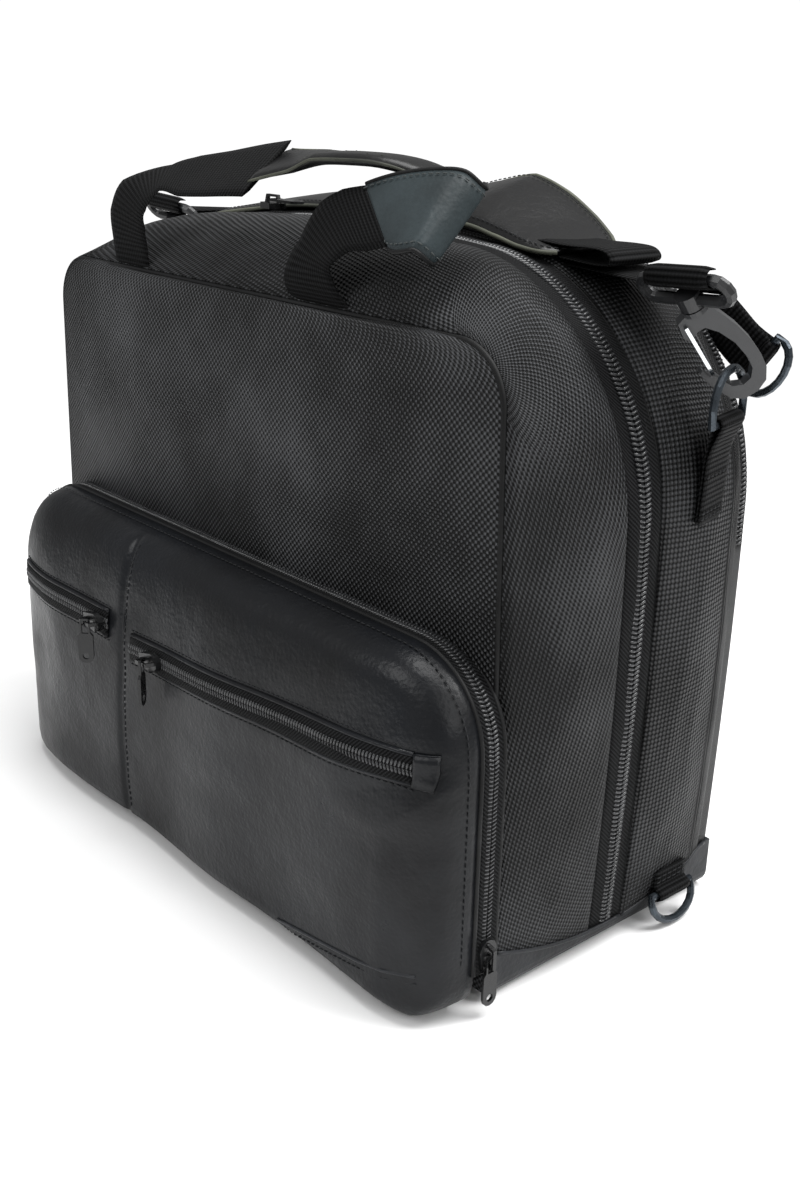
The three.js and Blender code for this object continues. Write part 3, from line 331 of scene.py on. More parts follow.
def tube(name, path, radius, material, body, sides=8):
    """Cord of round section along a path."""
    normal = None
    loops = []
    for i, point in enumerate(path):
        tangent = (path[min(i + 1, len(path) - 1)] - path[max(i - 1, 0)]).normalized()
        if normal is None:
            normal = tangent.orthogonal().normalized()
        normal = (normal - tangent * normal.dot(tangent)).normalized()
        side = tangent.cross(normal)
        ring = []
        for k in range(sides):
            angle = 2 * math.pi * k / sides
            ring.append(point + (normal * math.cos(angle) + side * math.sin(angle)) * radius)
        loops.append(ring)
    return loft(name, loops, material, body)


def spaced(path, normals, step):
    """Points, tangents and normals at equal steps along a path."""
    run = lengths(path)
    count = max(int(run[-1] / step), 1)
    out = []
    k = 0
    for i in range(count + 1):
        target = run[-1] * i / count
        while k < len(path) - 2 and run[k + 1] < target:
            k += 1
        t = (target - run[k]) / max(run[k + 1] - run[k], 1e-9)
        tangent = (path[k + 1] - path[k]).normalized()
        out.append((path[k].lerp(path[k + 1], t), tangent, normals[k].lerp(normals[k + 1], t).normalized()))
    return out


def beads(name, spots, size, material, body, lift=0.0, tilt=0.0):
    """Small rounded grains in one piece: stitches, zip teeth or specks. size holds a grain's half lengths."""
    long, wide, high = size
    profile = [(-1.0, 0.35), (-0.6, 0.9), (0.6, 0.9), (1.0, 0.35)]
    sides = 6
    points = []
    faces = []
    for centre, tangent, normal in spots:
        run = (tangent + tangent.cross(normal) * tilt).normalized()
        side = run.cross(normal).normalized()
        base = len(points)
        for reach, girth in profile:
            for k in range(sides):
                angle = 2 * math.pi * k / sides
                points.append(centre + run * long * reach + side * wide * girth * math.cos(angle)
                              + normal * (lift + high * girth * math.sin(angle)))
        for i in range(len(profile) - 1):
            for k in range(sides):
                a = base + i * sides + k
                b = base + i * sides + (k + 1) % sides
                faces.append((a, b, b + sides, a + sides))
        faces.append(tuple(base + k for k in range(sides - 1, -1, -1)))
        faces.append(tuple(base + (len(profile) - 1) * sides + k for k in range(sides)))
    return new_piece(name, points, faces, material, body)


def stitch_row(name, path, normals, body, material=THREAD, step=0.0038, length=0.0013):
    spots = spaced(path, normals, step)
    return beads(name, spots, (length, 0.00038, 0.00034), material, body, 0.00012)


def zip_row(name, path, normals, side, body, step=0.0024, reach=0.0048):
    """One half of a coil: a row of rounded teeth that lean over the middle of the zip."""
    spots = []
    for centre, tangent, normal in spaced(path, normals, step):
        across = normal.cross(tangent).normalized() * side
        spots.append((centre + across * reach * 0.46 + normal * reach * 0.12, across, normal))
    size = (reach * 0.52, step * 0.36, reach * 0.26)
    return beads(name, spots, size, COIL, body, 0.0, 0.3 * side)


def dress(node, material, bevel=0.0):
    """A CAD piece keeps its shape and gets a finish, with its edges softened."""
    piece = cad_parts[node]
    if not piece.material_slots:
        piece.data.materials.append(None)
    for entry in piece.material_slots:
        entry.link = "OBJECT"
        entry.material = material
    if bevel:
        softened = piece.modifiers.new("soft edges", "BEVEL")
        softened.width = bevel
        softened.segments = 2
        softened.limit_method = "ANGLE"
        softened.angle_limit = math.radians(28)


# ---------- the body's outline ----------
def section(y):
    """How the arch changes from the squared front to the back."""
    t = min(max(y / FRONT_TAPE_Y, 0), 1)
    ease = math.sin(t * math.pi / 2)
    taper = max(y - PIPING_Y, 0) / (BACK_Y - PIPING_Y)
    return {
        "foot": WIDTH / 2 + ease * 2 - BACK_TAPER * taper,
        "half": WIDTH / 2 - 9 * (1 - ease) + 2 * ease - BACK_TAPER * taper,
        "bulge": 6 * ease * (1 - taper / 2),
        "height": mix(FRONT_HEIGHT, ARCH_HEIGHT, ease) - 3 * taper,
        "radius": mix(FRONT_CORNER, 118, t ** 0.8),
        "crown": ARCH_CROWN * ease,
    }


def path_normals(path):
    """The way out of a line that runs round the bag at one depth."""
    normals = []
    for i in range(len(path)):
        run = path[min(i + 1, len(path) - 1)] - path[max(i - 1, 0)]
        normals.append(Vector((run.z, 0, -run.x)).normalized())
    return normals


def side_at(s, z):
    """Half width of a section at one height, below its rounded corner."""
    return mix(s["foot"], s["half"], z / s["height"]) + s["bulge"] * math.sin(math.pi * z / s["height"])


def arch(y, inset=0.0, foot=0.0, flap=False):
    """Places and outward directions round the arch at one depth, from the right foot to the left."""
    s = section(y)
    spring = s["height"] - s["radius"]
    half = []
    for i in range(24):
        z = mix(foot, spring, i / 24)
        half.append((side_at(s, z) - inset, z))
    centre = side_at(s, spring) - s["radius"]
    for i in range(29):
        angle = i / 28 * math.pi / 2
        reach = s["radius"] - inset
        lift = s["crown"] * math.sin(angle) ** 3 * 0.4
        half.append((centre + reach * math.cos(angle), spring + reach * math.sin(angle) + lift))
    for i in range(1, 15):
        t = i / 14
        half.append((centre * (1 - t), s["height"] - inset + s["crown"] * (0.4 + 0.6 * (1 - (1 - t) ** 2))))
    if flap:
        half = [(x, max(z, REAR_FLAP_Z)) for x, z in half if z > REAR_FLAP_Z - 8]
    outline = half + [(-x, z) for x, z in reversed(half[:-1])]
    places = [place(x, y, z) for x, z in outline]
    return places, path_normals(places)


def swell(point, size, scale, seed):
    """A soft unevenness that is the same on every run."""
    return size * noise.noise(point * scale + Vector((seed, seed * 0.7, seed * 1.3)))


def boot_edge(y):
    """Height of the base leather's edge along the side: low in the middle, higher at both ends."""
    if y < 85:
        return 14 + 0.0021 * (85 - y) ** 2
    return min(14 + 0.0034 * (y - 85) ** 2, BOOT_TOP)


def arch_skin(name, depths, material, body, replaces, puff=0.0, foot=None, rounding=None,
              flap=False, seed=1.0):
    """A band of the body's skin between depths, puffed between its seams."""
    rows = []
    for i, y in enumerate(depths):
        t = i / (len(depths) - 1)
        inset = rounding(y) if rounding else 0.0
        low = boot_edge(y) if foot is None else foot
        places, normals = arch(y, inset, low, flap)
        row = []
        for p, n in zip(places, normals):
            loose = math.sin(math.pi * t) * min(max((p.z * 1000 - low) / 45, 0), 1) ** 0.6
            ripple = swell(Vector((p.x, p.y * 3, p.z * 0.8)), 1.1, 40, seed)
            grow = (puff + swell(p, 1.6, 15, seed) + ripple) * loose
            row.append(p + n * grow / 1000)
        rows.append(row)
    return sheet_piece(name, rows, CLOTH, material, body, replaces)


def steps(start, end, count):
    return [mix(start, end, i / count) for i in range(count + 1)]


def panel_rows(y, foot, inset, rows, columns, bulge, seed, top=None):
    """Rows across a flat panel that fills the arch at depth y; bulge gives how far each point stands out."""
    outline = arch(y, inset, foot)[0]
    middle = len(outline) // 2
    right = [(p.z * 1000, p.x * 1000) for p in outline[: middle + 1]]
    crest = right[-1][0]
    limit = crest if top is None else top

    def half_width(z):
        if z <= right[0][0]:
            return right[0][1]
        for (z0, x0), (z1, x1) in zip(right, right[1:]):
            if z0 <= z <= z1:
                return mix(x0, x1, (z - z0) / max(z1 - z0, 1e-6))
        return right[-1][1]

    grid = []
    for i in range(rows + 1):
        t = i / rows
        z = mix(foot, limit - 0.05, 1 - (1 - t) ** 1.6 if top is None else t)
        w = max(half_width(z), 4.0)
        row = []
        for j in range(columns + 1):
            x = mix(w, -w, j / columns)
            stand = bulge(x / w, z)
            slow = swell(place(x, y, z), 2.4, 11, seed) * stand / 5
            row.append(place(x, y - stand + slow, z))
        grid.append(row)
    return grid


FRONT_FOLDS = [(190, -0.1, 1.2, 7), (214, 0.2, 1.7, 6), (240, 0.12, 1.2, 8), (282, -0.3, 1.0, 10)]
FRONT_MESH = {}


def front_folds(x, z):
    """Soft creases that run in from the front's right edge, in mm."""
    reach = min(max((x - 60) / 110, 0), 1)
    sunk = sum(depth * math.exp(-((z - height - slope * (x - 190)) / width) ** 2)
               for height, slope, depth, width in FRONT_FOLDS)
    return -sunk * reach * reach * (3 - 2 * reach)


def build_front():
    def bulge(across, z):
        edge = max(1 - abs(across) ** 6, 0)
        rise = math.sin(math.pi * min(max((z - 120) / 215, 0), 1)) ** 0.7
        return (6 + front_folds(across * WIDTH / 2, z)) * edge * rise

    grid = panel_rows(0.6, 4, 0.6, 60, 90, bulge, 3.1)
    sheet_piece("front_cloth", grid, CLOTH, NYLON_FRONT, "front_cover", ["front_panel"])
    quads = grid_faces(len(grid), len(grid[0]))
    FRONT_MESH["tree"] = BVHTree.FromPolygons([p for row in grid for p in row], quads)
    arch_skin("front_gusset_cloth", steps(1.2, FRONT_TAPE_Y, 12), NYLON_SIDE, "front_cover",
              ["front_gusset"], 2.2, seed=5.0)
    tube("front_edge_piping", arch(0.4, 0.2, 6)[0], 0.0015, PIPING, "front_cover")
    for index, y in enumerate((4.6, 8.2)):
        path, out = arch(y, -0.3, 34)
        stitch_row(f"front_topstitch_{index}", path, out, "front_cover")
    seam_y = FRONT_TAPE_Y - 3.4
    path, out = arch(seam_y, -0.4, boot_edge(seam_y) + 1)
    stitch_row("front_zip_topstitch_0", path, out, "front_cover")


def build_rear():
    arch_skin("rear_gusset_cloth", steps(REAR_TAPE_Y, PIPING_Y - 0.6, 12), NYLON_RIBBED, "body",
              ["rear_gusset"], 3.0, seed=7.0)
    for name, y, radius, body in (
        ("rear_piping", PIPING_Y + 0.4, 0.0021, "body"),
        ("main_zip_seam_rear", REAR_TAPE_Y, 0.0011, "body"),
        ("main_zip_seam_front", FRONT_TAPE_Y, 0.0011, "front_cover"),
    ):
        tube(name, arch(y, 0.2, boot_edge(y) + 1)[0], radius, PIPING, body)
    arch_skin("rear_band_cloth", steps(PIPING_Y + 2, 156, 5), NYLON_PLAIN, "body",
              ["rear_band"], 0.5, seed=9.0)
    path, out = arch(PIPING_Y + 5.5, -0.5, boot_edge(PIPING_Y) + 2)
    stitch_row("rear_band_topstitch", path, out, "body")


def build_main_zip():
    for name, ys, body, node in (
        ("main_zip_tape_front", (FRONT_TAPE_Y + 0.4, MAIN_ZIP_Y - 0.3), "front_cover", "main_zip_front_tape"),
        ("main_zip_tape_rear", (MAIN_ZIP_Y + 0.3, REAR_TAPE_Y - 0.4), "body", "main_zip_rear_tape"),
    ):
        arch_skin(name, steps(*ys, 4), TAPE, body, [node], 0.0, rounding=lambda y: 0.9)
    path, out = arch(MAIN_ZIP_Y, 0.2, boot_edge(MAIN_ZIP_Y) + 2)
    zip_row("main_zip_teeth_front", path, out, 1, "front_cover")
    zip_row("main_zip_teeth_rear", path, out, -1, "body")
    for name, y, body in (("front", FRONT_TAPE_Y + 3.4, "front_cover"), ("rear", REAR_TAPE_Y - 3.4, "body")):
        path, out = arch(y, 0.4, boot_edge(y))
        stitch_row(f"main_tape_stitch_{name}", path, out, body)


def build_rear_zip():
    def back_rounding(y):
        return 0.9 + 3.2 * max((y - 166) / (BACK_Y - 166), 0) ** 2

    arch_skin("rear_zip_tape_front", steps(156.3, REAR_ZIP_Y - 0.3, 3), TAPE, "body",
              ["rear_zip_front_tape"], rounding=lambda y: 0.9, foot=REAR_FLAP_Z + 0.5, flap=True)
    arch_skin("rear_zip_tape_back", steps(REAR_ZIP_Y + 0.3, 165.8, 3), TAPE, "rear_flap",
              ["rear_zip_back_tape"], rounding=lambda y: 0.9, foot=REAR_FLAP_Z + 0.5, flap=True)
    path, out = arch(REAR_ZIP_Y, 0.2, REAR_FLAP_Z + 1)
    zip_row("rear_zip_teeth_front", path, out, 1, "body", reach=0.0042)
    zip_row("rear_zip_teeth_back", path, out, -1, "rear_flap", reach=0.0042)

    def flat(_across, _z):
        return 0.0

    arch_skin("back_rim_upper", steps(166, BACK_Y - 0.4, 6), NYLON_PLAIN, "rear_flap", [],
              rounding=back_rounding, foot=REAR_FLAP_Z + 0.5, flap=True)
    upper = panel_rows(BACK_Y - 0.4, REAR_FLAP_Z + 0.4, 4.0, 30, 60, flat, 4.0)
    sheet_piece("back_cloth_upper", upper, -CLOTH, NYLON_FRONT, "rear_flap", ["back_panel_upper"])
    lower = panel_rows(BACK_Y - 0.4, BOOT_TOP, 4.0, 24, 60, flat, 4.0, top=REAR_FLAP_Z - 1.2)
    sheet_piece("back_cloth_lower", lower, -CLOTH, NYLON_FRONT, "body", ["back_panel_lower"])
    hem = section(BACK_Y)["half"] - 2
    path = [place(mix(hem, -hem, i / 40), BACK_Y + 0.1, REAR_FLAP_Z) for i in range(41)]
    tube("back_fold_piping", path, 0.0016, PIPING, "body")
    for index, drop in enumerate((5, 9)):
        row = [Vector((p.x, p.y + 0.0003, p.z - drop / 1000)) for p in path]
        stitch_row(f"back_fold_stitch_{index}", row, [Vector((0, 1, 0))] * len(row), "body")
    rim_top = REAR_FLAP_Z - 0.2
    for sign in (1, -1):
        rows = []
        for y in steps(156.5, BACK_Y - 0.4, 10):
            outline = arch(y, back_rounding(y), BOOT_TOP)[0]
            side = [p for p in outline if p.x * sign > 0 and p.z * 1000 < rim_top]
            edge = max(side, key=lambda p: p.z)
            lip = Vector((edge.x, edge.y, rim_top / 1000))
            side.insert(0 if side[0] is edge else len(side), lip)
            rows.append(side if sign > 0 else side[::-1])
        least = min(len(row) for row in rows)
        name = "back_rim_lower_right" if sign > 0 else "back_rim_lower_left"
        sheet_piece(name, [row[:least] for row in rows], CLOTH * sign, NYLON_PLAIN, "body")


def build_boot():
    dress("base_boot", BOOT_LEATHER, 0.0025)
    dress("base_board", BOARD)
    dress("divider_panel", LINING)
    for name, ys in (("boot_edge_front", (4, 92)), ("boot_edge_rear", (94, BACK_Y - 6))):
        for side, sign in (("right", 1), ("left", -1)):
            path = []
            for y in steps(*ys, 24):
                z = boot_edge(y)
                path.append(place(sign * (side_at(section(y), z) + 1.3), y, z - 0.4))
            tube(f"{name}_{side}", path, 0.0012, BOOT_LEATHER, "body", 6)


# ---------- leather pocket ----------
CROWN = [(-15, 0), (-20, 0.6), (-25, 1.8), (-29.5, 3.6), (-33, 6), (-36, 9.6), (-38.4, 14), (-40.6, 20),
         (-42.6, 27), (-44.4, 35), (-46, 43), (-47.4, 51), (-48.6, 59), (-49.4, 66)]
FURTHEST_Y = -53.5
ARC_STEPS = 10
SIDE_STEPS = 26
SEAM_STEPS = [12, 8, 5.5, 3.8, 2.5, 1.2]
COLUMNS = ([120 - 7 * i for i in range(24)] + [POCKET_SEAM_X + s for s in SEAM_STEPS] + [POCKET_SEAM_X]
           + [POCKET_SEAM_X - s for s in reversed(SEAM_STEPS)] + [-79 - 8 * i for i in range(6)])
RUN_STEPS = len(COLUMNS) + 1
LOWER_RIGHT = 4 * ARC_STEPS + 2 * RUN_STEPS + SIDE_STEPS
POCKET_MESH = {}


def pocket_loop(y, inset):
    """The pocket's rounded outline at one depth, drawn in by an inset, less so at its lower right."""
    loop = []
    corners = [(1, 1, 46), (-1, 1, 46), (-1, -1, 18), (1, -1, 18)]
    for quarter, (sx, sz, full) in enumerate(corners):
        r = max(full - inset * 0.5, 8)
        side_inset = inset * 0.5 if sx > 0 and sz < 0 else inset
        x = sx * (POCKET_HALF_WIDTH - side_inset - r)
        z = POCKET_TOP - inset - r if sz > 0 else 3 + inset * 0.12 + r
        for i in range(ARC_STEPS + 1):
            angle = (quarter + i / ARC_STEPS) * math.pi / 2
            loop.append((x + r * math.cos(angle), z + r * math.sin(angle)))
    full = []
    for i, (a, b) in enumerate(zip(loop, loop[1:] + loop[:1])):
        full.append(a)
        if i == ARC_STEPS:
            full += [(x, a[1]) for x in COLUMNS]
        elif i == 3 * ARC_STEPS + 2:
            full += [(x, a[1]) for x in reversed(COLUMNS)]
        elif i in (2 * ARC_STEPS + 1, 4 * ARC_STEPS + 3):
            full += [(a[0], mix(a[1], b[1], k / SIDE_STEPS)) for k in range(1, SIDE_STEPS)]
    return [(x, y, z) for x, z in full]


def creases(x, z):
    """How far the leather stands out or sinks, in mm: the seam, soft folds and slow waves."""
    point = Vector((x, 0, z)) / 1000
    seam = -1.6 * math.exp(-((x - POCKET_SEAM_X) / 2.6) ** 2)
    slow = 2.4 * noise.noise(point * 13 + Vector((4, 1, 2)))
    stretched = Vector((point.x * 10 + point.z * 14, 3, point.z * 46 - point.x * 16))
    fold = 1.5 * noise.noise(stretched) * (0.35 + max(x, 0) / 260)
    return seam + slow + fold


def build_pocket():
    rings = [pocket_loop(y, inset) for y, inset in CROWN]
    last = rings[-1]
    spine_z = sum(z for _, _, z in last) / len(last)
    spine = max(x for x, _, _ in last) - 48
    for k in range(1, 13):
        t = k / 12
        inner = []
        y = CROWN[-1][0] - 0.6 * math.sin(t * math.pi / 2)
        for i, (x, _, z) in enumerate(last):
            twin = last[(LOWER_RIGHT - i) % len(last)]
            home = min(max((x + twin[0]) / 2, -spine), spine)
            inner.append((mix(x, home, t), y, mix(z, spine_z, t)))
        rings.append(inner)
    points = []
    for k, ring in enumerate(rings):
        hold = min(k / 5, 1)
        for x, y, z in ring:
            stand = creases(x, z) * hold
            points.append(place(x, min(max(y - stand, FURTHEST_Y), POCKET_RIM_Y), z))
    quads = grid_faces(len(rings), len(last), wrap=True)
    POCKET_MESH["tree"] = BVHTree.FromPolygons(points, quads)
    piece = new_piece("pocket_leather", points, quads, LEATHER, "pocket_cover", None,
                      ["pocket_panel_left", "pocket_panel_right"])
    weld = piece.modifiers.new("weld", "WELD")
    weld.merge_threshold = 0.0002
    solid = piece.modifiers.new("thickness", "SOLIDIFY")
    solid.thickness = 0.0018
    solid.offset = -1


def on_face(x, z, lift):
    """A place on the pocket's front, a little out of the leather."""
    start = place(x, -90, z)
    hit = POCKET_MESH["tree"].ray_cast(start, Vector((0, 1, 0)))[0]
    return Vector((start.x, hit.y - lift / 1000, start.z))


def face_path(start, end, count, lift):
    """A line across the pocket's face, and the way out of it."""
    path = [on_face(mix(start[0], end[0], i / count), mix(start[1], end[1], i / count), lift)
            for i in range(count + 1)]
    return path, [Vector((0, -1, 0))] * len(path)


def build_pocket_zips():
    for name, start, end, node in (
        ("left_zip", (-183, 127), (-73, 127), "pocket_left_zip"),
        ("right_zip", (-47, 120.5), (185, 135), "pocket_right_zip"),
    ):
        rows = []
        for rise in (6.6, 3.3, 0, -3.3, -6.6):
            path, out = face_path((start[0], start[1] + rise), (end[0], end[1] + rise), 24, 0.5)
            rows.append(path)
        sheet_piece(f"{name}_tape", rows, 0.0012, TAPE, "pocket_cover", [node])
        for side, rise in (("upper", 7.4), ("lower", -7.4)):
            path, out = face_path((start[0], start[1] + rise), (end[0], end[1] + rise), 24, 0.4)
            tube(f"{name}_lip_{side}", path, 0.0014, LEATHER, "pocket_cover")
            row, out = face_path((start[0], start[1] + rise * 1.35), (end[0], end[1] + rise * 1.35), 24, 0.1)
            stitch_row(f"{name}_stitch_{side}", row, out, "pocket_cover")
        path, out = face_path(start, end, 24, 1.0)
        zip_row(f"{name}_teeth_upper", path, out, 1, "pocket_cover", 0.0021, 0.0033)
        zip_row(f"{name}_teeth_lower", path, out, -1, "pocket_cover", 0.0021, 0.0033)
    path, out = face_path((POCKET_SEAM_X + 4.5, 17), (POCKET_SEAM_X + 4.5, 176), 40, 0.1)
    stitch_row("pocket_seam_stitch", path, out, "pocket_cover")
    low = [(92, 12.5), (106, 14.5), (122, 17), (142, 20.5), (160, 23.8), (176, 26.6), (192, 29)]
    path = [on_face(x, z, 0.1) for x, z in low]
    tube("pocket_boot_edge", path, 0.0009, BOOT_LEATHER, "pocket_cover", 6)
    below = [on_face(x, z - 4, 0.1) for x, z in low]
    stitch_row("pocket_boot_stitch", below, [Vector((0, -1, 0))] * len(below), "pocket_cover")
    rows = [face_path((186, z), (197, z + 1), 8, 1.1)[0] for z in (143, 139, 135, 131, 127)]
    sheet_piece("right_zip_end_tab", rows, 0.0014, LEATHER, "pocket_cover")
    edge = rows[0][::-1] + [row[0] for row in rows[1:]] + rows[-1][1:]
    tube("right_zip_end_edge", edge, 0.0006, LEATHER, "pocket_cover", 6)


def rim_path(y, inset):
    """Round the pocket's rim from its right foot, over the top, to its left foot."""
    outline = pocket_loop(y, inset)
    over = sorted((p for p in outline if p[2] > 60), key=lambda p: math.atan2(p[2] - 60, p[0]))
    foot_right = [(over[0][0], y, z) for z in (24, 40, 56)]
    foot_left = [(over[-1][0], y, z) for z in (56, 40, 24)]
    return [place(*p) for p in foot_right + over + foot_left]


def build_rim_zip():
    for name, ys, body, node in (
        ("outer", (POCKET_RIM_Y + 0.3, POCKET_ZIP_Y - 0.2), "pocket_cover", "pocket_zip_outer_tape"),
        ("inner", (POCKET_ZIP_Y + 0.2, -0.4), "front_cover", "pocket_zip_inner_tape"),
    ):
        rows = [rim_path(y, 1.2) for y in steps(*ys, 3)]
        sheet_piece(f"pocket_rim_tape_{name}", rows, 0.0014, TAPE, body, [node])
    path = rim_path(POCKET_ZIP_Y, 0.6)
    out = path_normals(path)
    zip_row("pocket_rim_teeth_outer", path, out, 1, "pocket_cover", 0.0021, 0.0037)
    zip_row("pocket_rim_teeth_inner", path, out, -1, "front_cover", 0.0021, 0.0037)
    for name, y, body in (
        ("pocket_rim_piping", POCKET_RIM_Y, "pocket_cover"),
        ("front_rim_piping", -0.9, "front_cover"),
    ):
        tube(name, rim_path(y, 0.4), 0.0013, PIPING, body)
    inner = [place(p[0], -22.5, p[2]) for p in pocket_loop(-22.5, 0.6) if p[2] > 30]
    order = sorted(inner, key=lambda p: math.atan2(p.z - 0.06, p.x))
    stitch_row("pocket_rim_stitch", order, path_normals(order), "pocket_cover")


# ---------- webbing strips ----------
def smooth_path(stations, per_span):
    """A curve through stations (place, width direction, width, thickness), in metres."""
    out = []
    last = len(stations) - 1
    for i in range(last):
        p0, p1, p2, p3 = (stations[max(i - 1, 0)][0], stations[i][0], stations[i + 1][0],
                          stations[min(i + 2, last)][0])
        for k in range(per_span + (1 if i == last - 1 else 0)):
            t = k / per_span
            centre = 0.5 * ((2 * p1) + (p2 - p0) * t + (2 * p0 - 5 * p1 + 4 * p2 - p3) * t ** 2
                            + (3 * p1 - p0 - 3 * p2 + p3) * t ** 3)
            across = stations[i][1].lerp(stations[i + 1][1], t).normalized()
            out.append((centre, across, mix(stations[i][2], stations[i + 1][2], t),
                        mix(stations[i][3], stations[i + 1][3], t)))
    return out


def frames_of(path):
    """Each section's tangent and the way out of the strip's face."""
    frames = []
    for i, (centre, across, width, thick) in enumerate(path):
        run = path[min(i + 1, len(path) - 1)][0] - path[max(i - 1, 0)][0]
        tangent = run.normalized()
        frames.append((centre, tangent, across, tangent.cross(across).normalized(), width, thick))
    return frames


def strip(name, path, material, body, replaces=(), crown=0.0):
    """Flat webbing with rounded edges. crown makes its middle thicker, as in a padded sleeve."""
    loops = []
    cloth = []
    run = 0.0
    frames = frames_of(path)
    outline = [(mix(-1, 1, k / 8), 1) for k in range(9)] + [(mix(1, -1, k / 8), -1) for k in range(9)]
    for i, (centre, _, across, out, width, thick) in enumerate(frames):
        run += (centre - frames[i - 1][0]).length if i else 0.0
        loop = []
        for s, face in outline:
            edge = math.sqrt(max(1 - abs(s) ** 8, 0.05))
            rise = thick / 2 * edge + crown * (1 - s * s)
            loop.append(centre + across * s * width / 2 + out * face * rise)
            cloth.append((s * width / 2 + 0.5, run))
        loops.append(loop)
    return loft(name, loops, material, body, replaces, cloth)


def edge_path(path, side, face=0.0, inset=0.0):
    return [c + a * side * (w / 2 - inset) + n * face * t / 2 for c, _, a, n, w, t in frames_of(path)]


def face_normals(path, face=1):
    return [n * face for _, _, _, n, _, _ in frames_of(path)]


def mirrored(stations, sign):
    """Stations kept for the right side (1) or flipped to the left (-1)."""
    return [(Vector((c.x * sign, c.y, c.z)), Vector((a.x * sign, a.y, a.z)), w, t) for c, a, w, t in stations]


def st(x, y, z, across, width=HANDLE_WEBBING, thick=2.4):
    """A station from millimetres: its place, the way across the strip, its width and its thickness."""
    return place(x, y, z), Vector(across).normalized(), width / 1000, thick / 1000


LEFT_BASE_X = -108
RIGHT_BASE_X = 68
HANDLE = [
    st(LEFT_BASE_X - 2, 1.5, 321.6, (-1, 0, 0), 34),
    st(LEFT_BASE_X - 5, 1.8, 334, (-1, 0.05, 0), 40),
    st(LEFT_BASE_X - 8, 2.5, 348, (-0.98, 0.1, 0.15)),
    st(LEFT_BASE_X - 4, 5, 361, (-0.93, 0.25, 0.3)),
    st(-91, 13, 371.6, (-0.72, 0.65, 0.24)),
    st(-68, 14, 374, (-0.55, 0.7, 0.4)),
    st(-45, 15, 376.5, (-0.4, 0.75, 0.45)),
    st(-22, 17, 379.5, (-0.25, 0.78, 0.52)),
    st(-3, 18.5, 381.5, (-0.15, 0.8, 0.58)),
]
GRIP = [
    st(-6, 23, 382.5, (-0.1, 0.9, 0.45), 34, 2.6),
    st(20, 28, 386, (-0.05, 0.95, 0.3), 30, 4),
    st(37, 28, 388.3, (0, 1, 0.05), 25, 5),
    st(60, 26, 389.4, (0, 1, 0.03), 24, 5),
    st(83, 29, 389, (0, 1, 0), 24, 5),
    st(98, 36, 385.5, (0, 0.98, 0), 24, 5),
    st(108, 41, 379, (0, 0.97, 0.2), 26, 4),
    st(119, 39, 372, (0, 0.85, 0.5), 32, 3.4),
]
WRAP = [
    st(119, 39, 372, (0, 0.85, 0.5), 34, 2.4),
    st(129, 31, 367, (-0.02, 0.75, 0.66), 40, 2.2),
    st(136, 22.5, 365, (-0.04, 0.7, 0.71), 45, 2.2),
    st(134, 13, 371.5, (-0.06, 0.7, 0.71), 45, 2.2),
    st(123, 10.5, 371, (-0.25, 0.62, 0.74), 45, 2.2),
    st(109, 9.5, 369, (-0.5, 0.5, 0.7), 45, 2.2),
    st(96, 9, 366.7, (-0.77, 0.33, 0.55), 45, 2.2),
]
RIGHT_LEG = [
    st(96, 9, 366.7, (-0.77, 0.33, 0.55), 43, 2.2),
    st(81, 8, 363.5, (-0.78, 0.3, 0.54)),
    st(66, 7, 358.6, (-0.85, 0.3, 0.4)),
    st(55.5, 4, 346.4, (-0.93, 0.32, 0.17)),
    st(53, 2.2, 336.4, (-0.98, 0.12, 0)),
    st(57, 1.6, 328.5, (-1, 0.02, 0)),
    st(RIGHT_BASE_X - 2, 1.5, 321.6, (-1, 0, 0)),
]


def build_front_handle():
    body = "front_handle"
    left = smooth_path(HANDLE, 6)
    strip("handle_left_leg_webbing", left, WEBBING, body, ["front_handle_left_leg"])
    grip = smooth_path(GRIP, 8)
    strip("handle_grip_leather", grip, PAD_LEATHER, body, ["front_handle_grip"], 0.0006)
    wrap = smooth_path(WRAP, 8)
    strip("handle_wrap_leather", wrap, LIT_WRAP_LEATHER, body, ["front_handle_wrap"], 0.0002)
    right = smooth_path(RIGHT_LEG, 6)
    strip("handle_right_leg_webbing", right, WEBBING, body, ["front_handle_right_leg"])
    for side, sign in (("near", -1), ("far", 1)):
        tube(f"grip_binding_{side}", edge_path(grip, sign), 0.0008, LIGHT_EDGE, body, 6)
        tube(f"wrap_binding_{side}", edge_path(wrap, sign), 0.0011, PIPING, body, 6)
        for level, face in (("upper", 1), ("under", -1)):
            lane = edge_path(wrap, sign, face * 1.25, 0.0035)
            stitch_row(f"wrap_stitch_{side}_{level}", lane, face_normals(wrap, face), body,
                       LIGHT_THREAD)
    speck_spots = []
    for i, (c, t, a, n, w, k) in enumerate(frames_of(smooth_path(GRIP[1:6], 26))):
        for j in range(2):
            shift = noise.noise(Vector((i * 1.7, j * 5.3, 1)))
            speck_spots.append((c + a * (shift * w / 2) + n * (k / 2 + 0.00045), t, n))
    beads("grip_specks", speck_spots, (0.0006, 0.00025, 0.00015), LIGHT_EDGE, body)
    for side, x in (("left", LEFT_BASE_X - 12), ("right", RIGHT_BASE_X - 8)):
        dress(f"handle_anchor_{side}", WEBBING)
        crossed_square(f"anchor_stitch_{side}", x - 20, x + 20, FRONT_HEIGHT - 59, FRONT_HEIGHT - 9)


def front_surface(x, z):
    """A place on the front cloth, a little out of it."""
    start = place(x, -60, z)
    hit = FRONT_MESH["tree"].ray_cast(start, Vector((0, 1, 0)))[0]
    return Vector((start.x, hit.y - 0.0004, start.z))


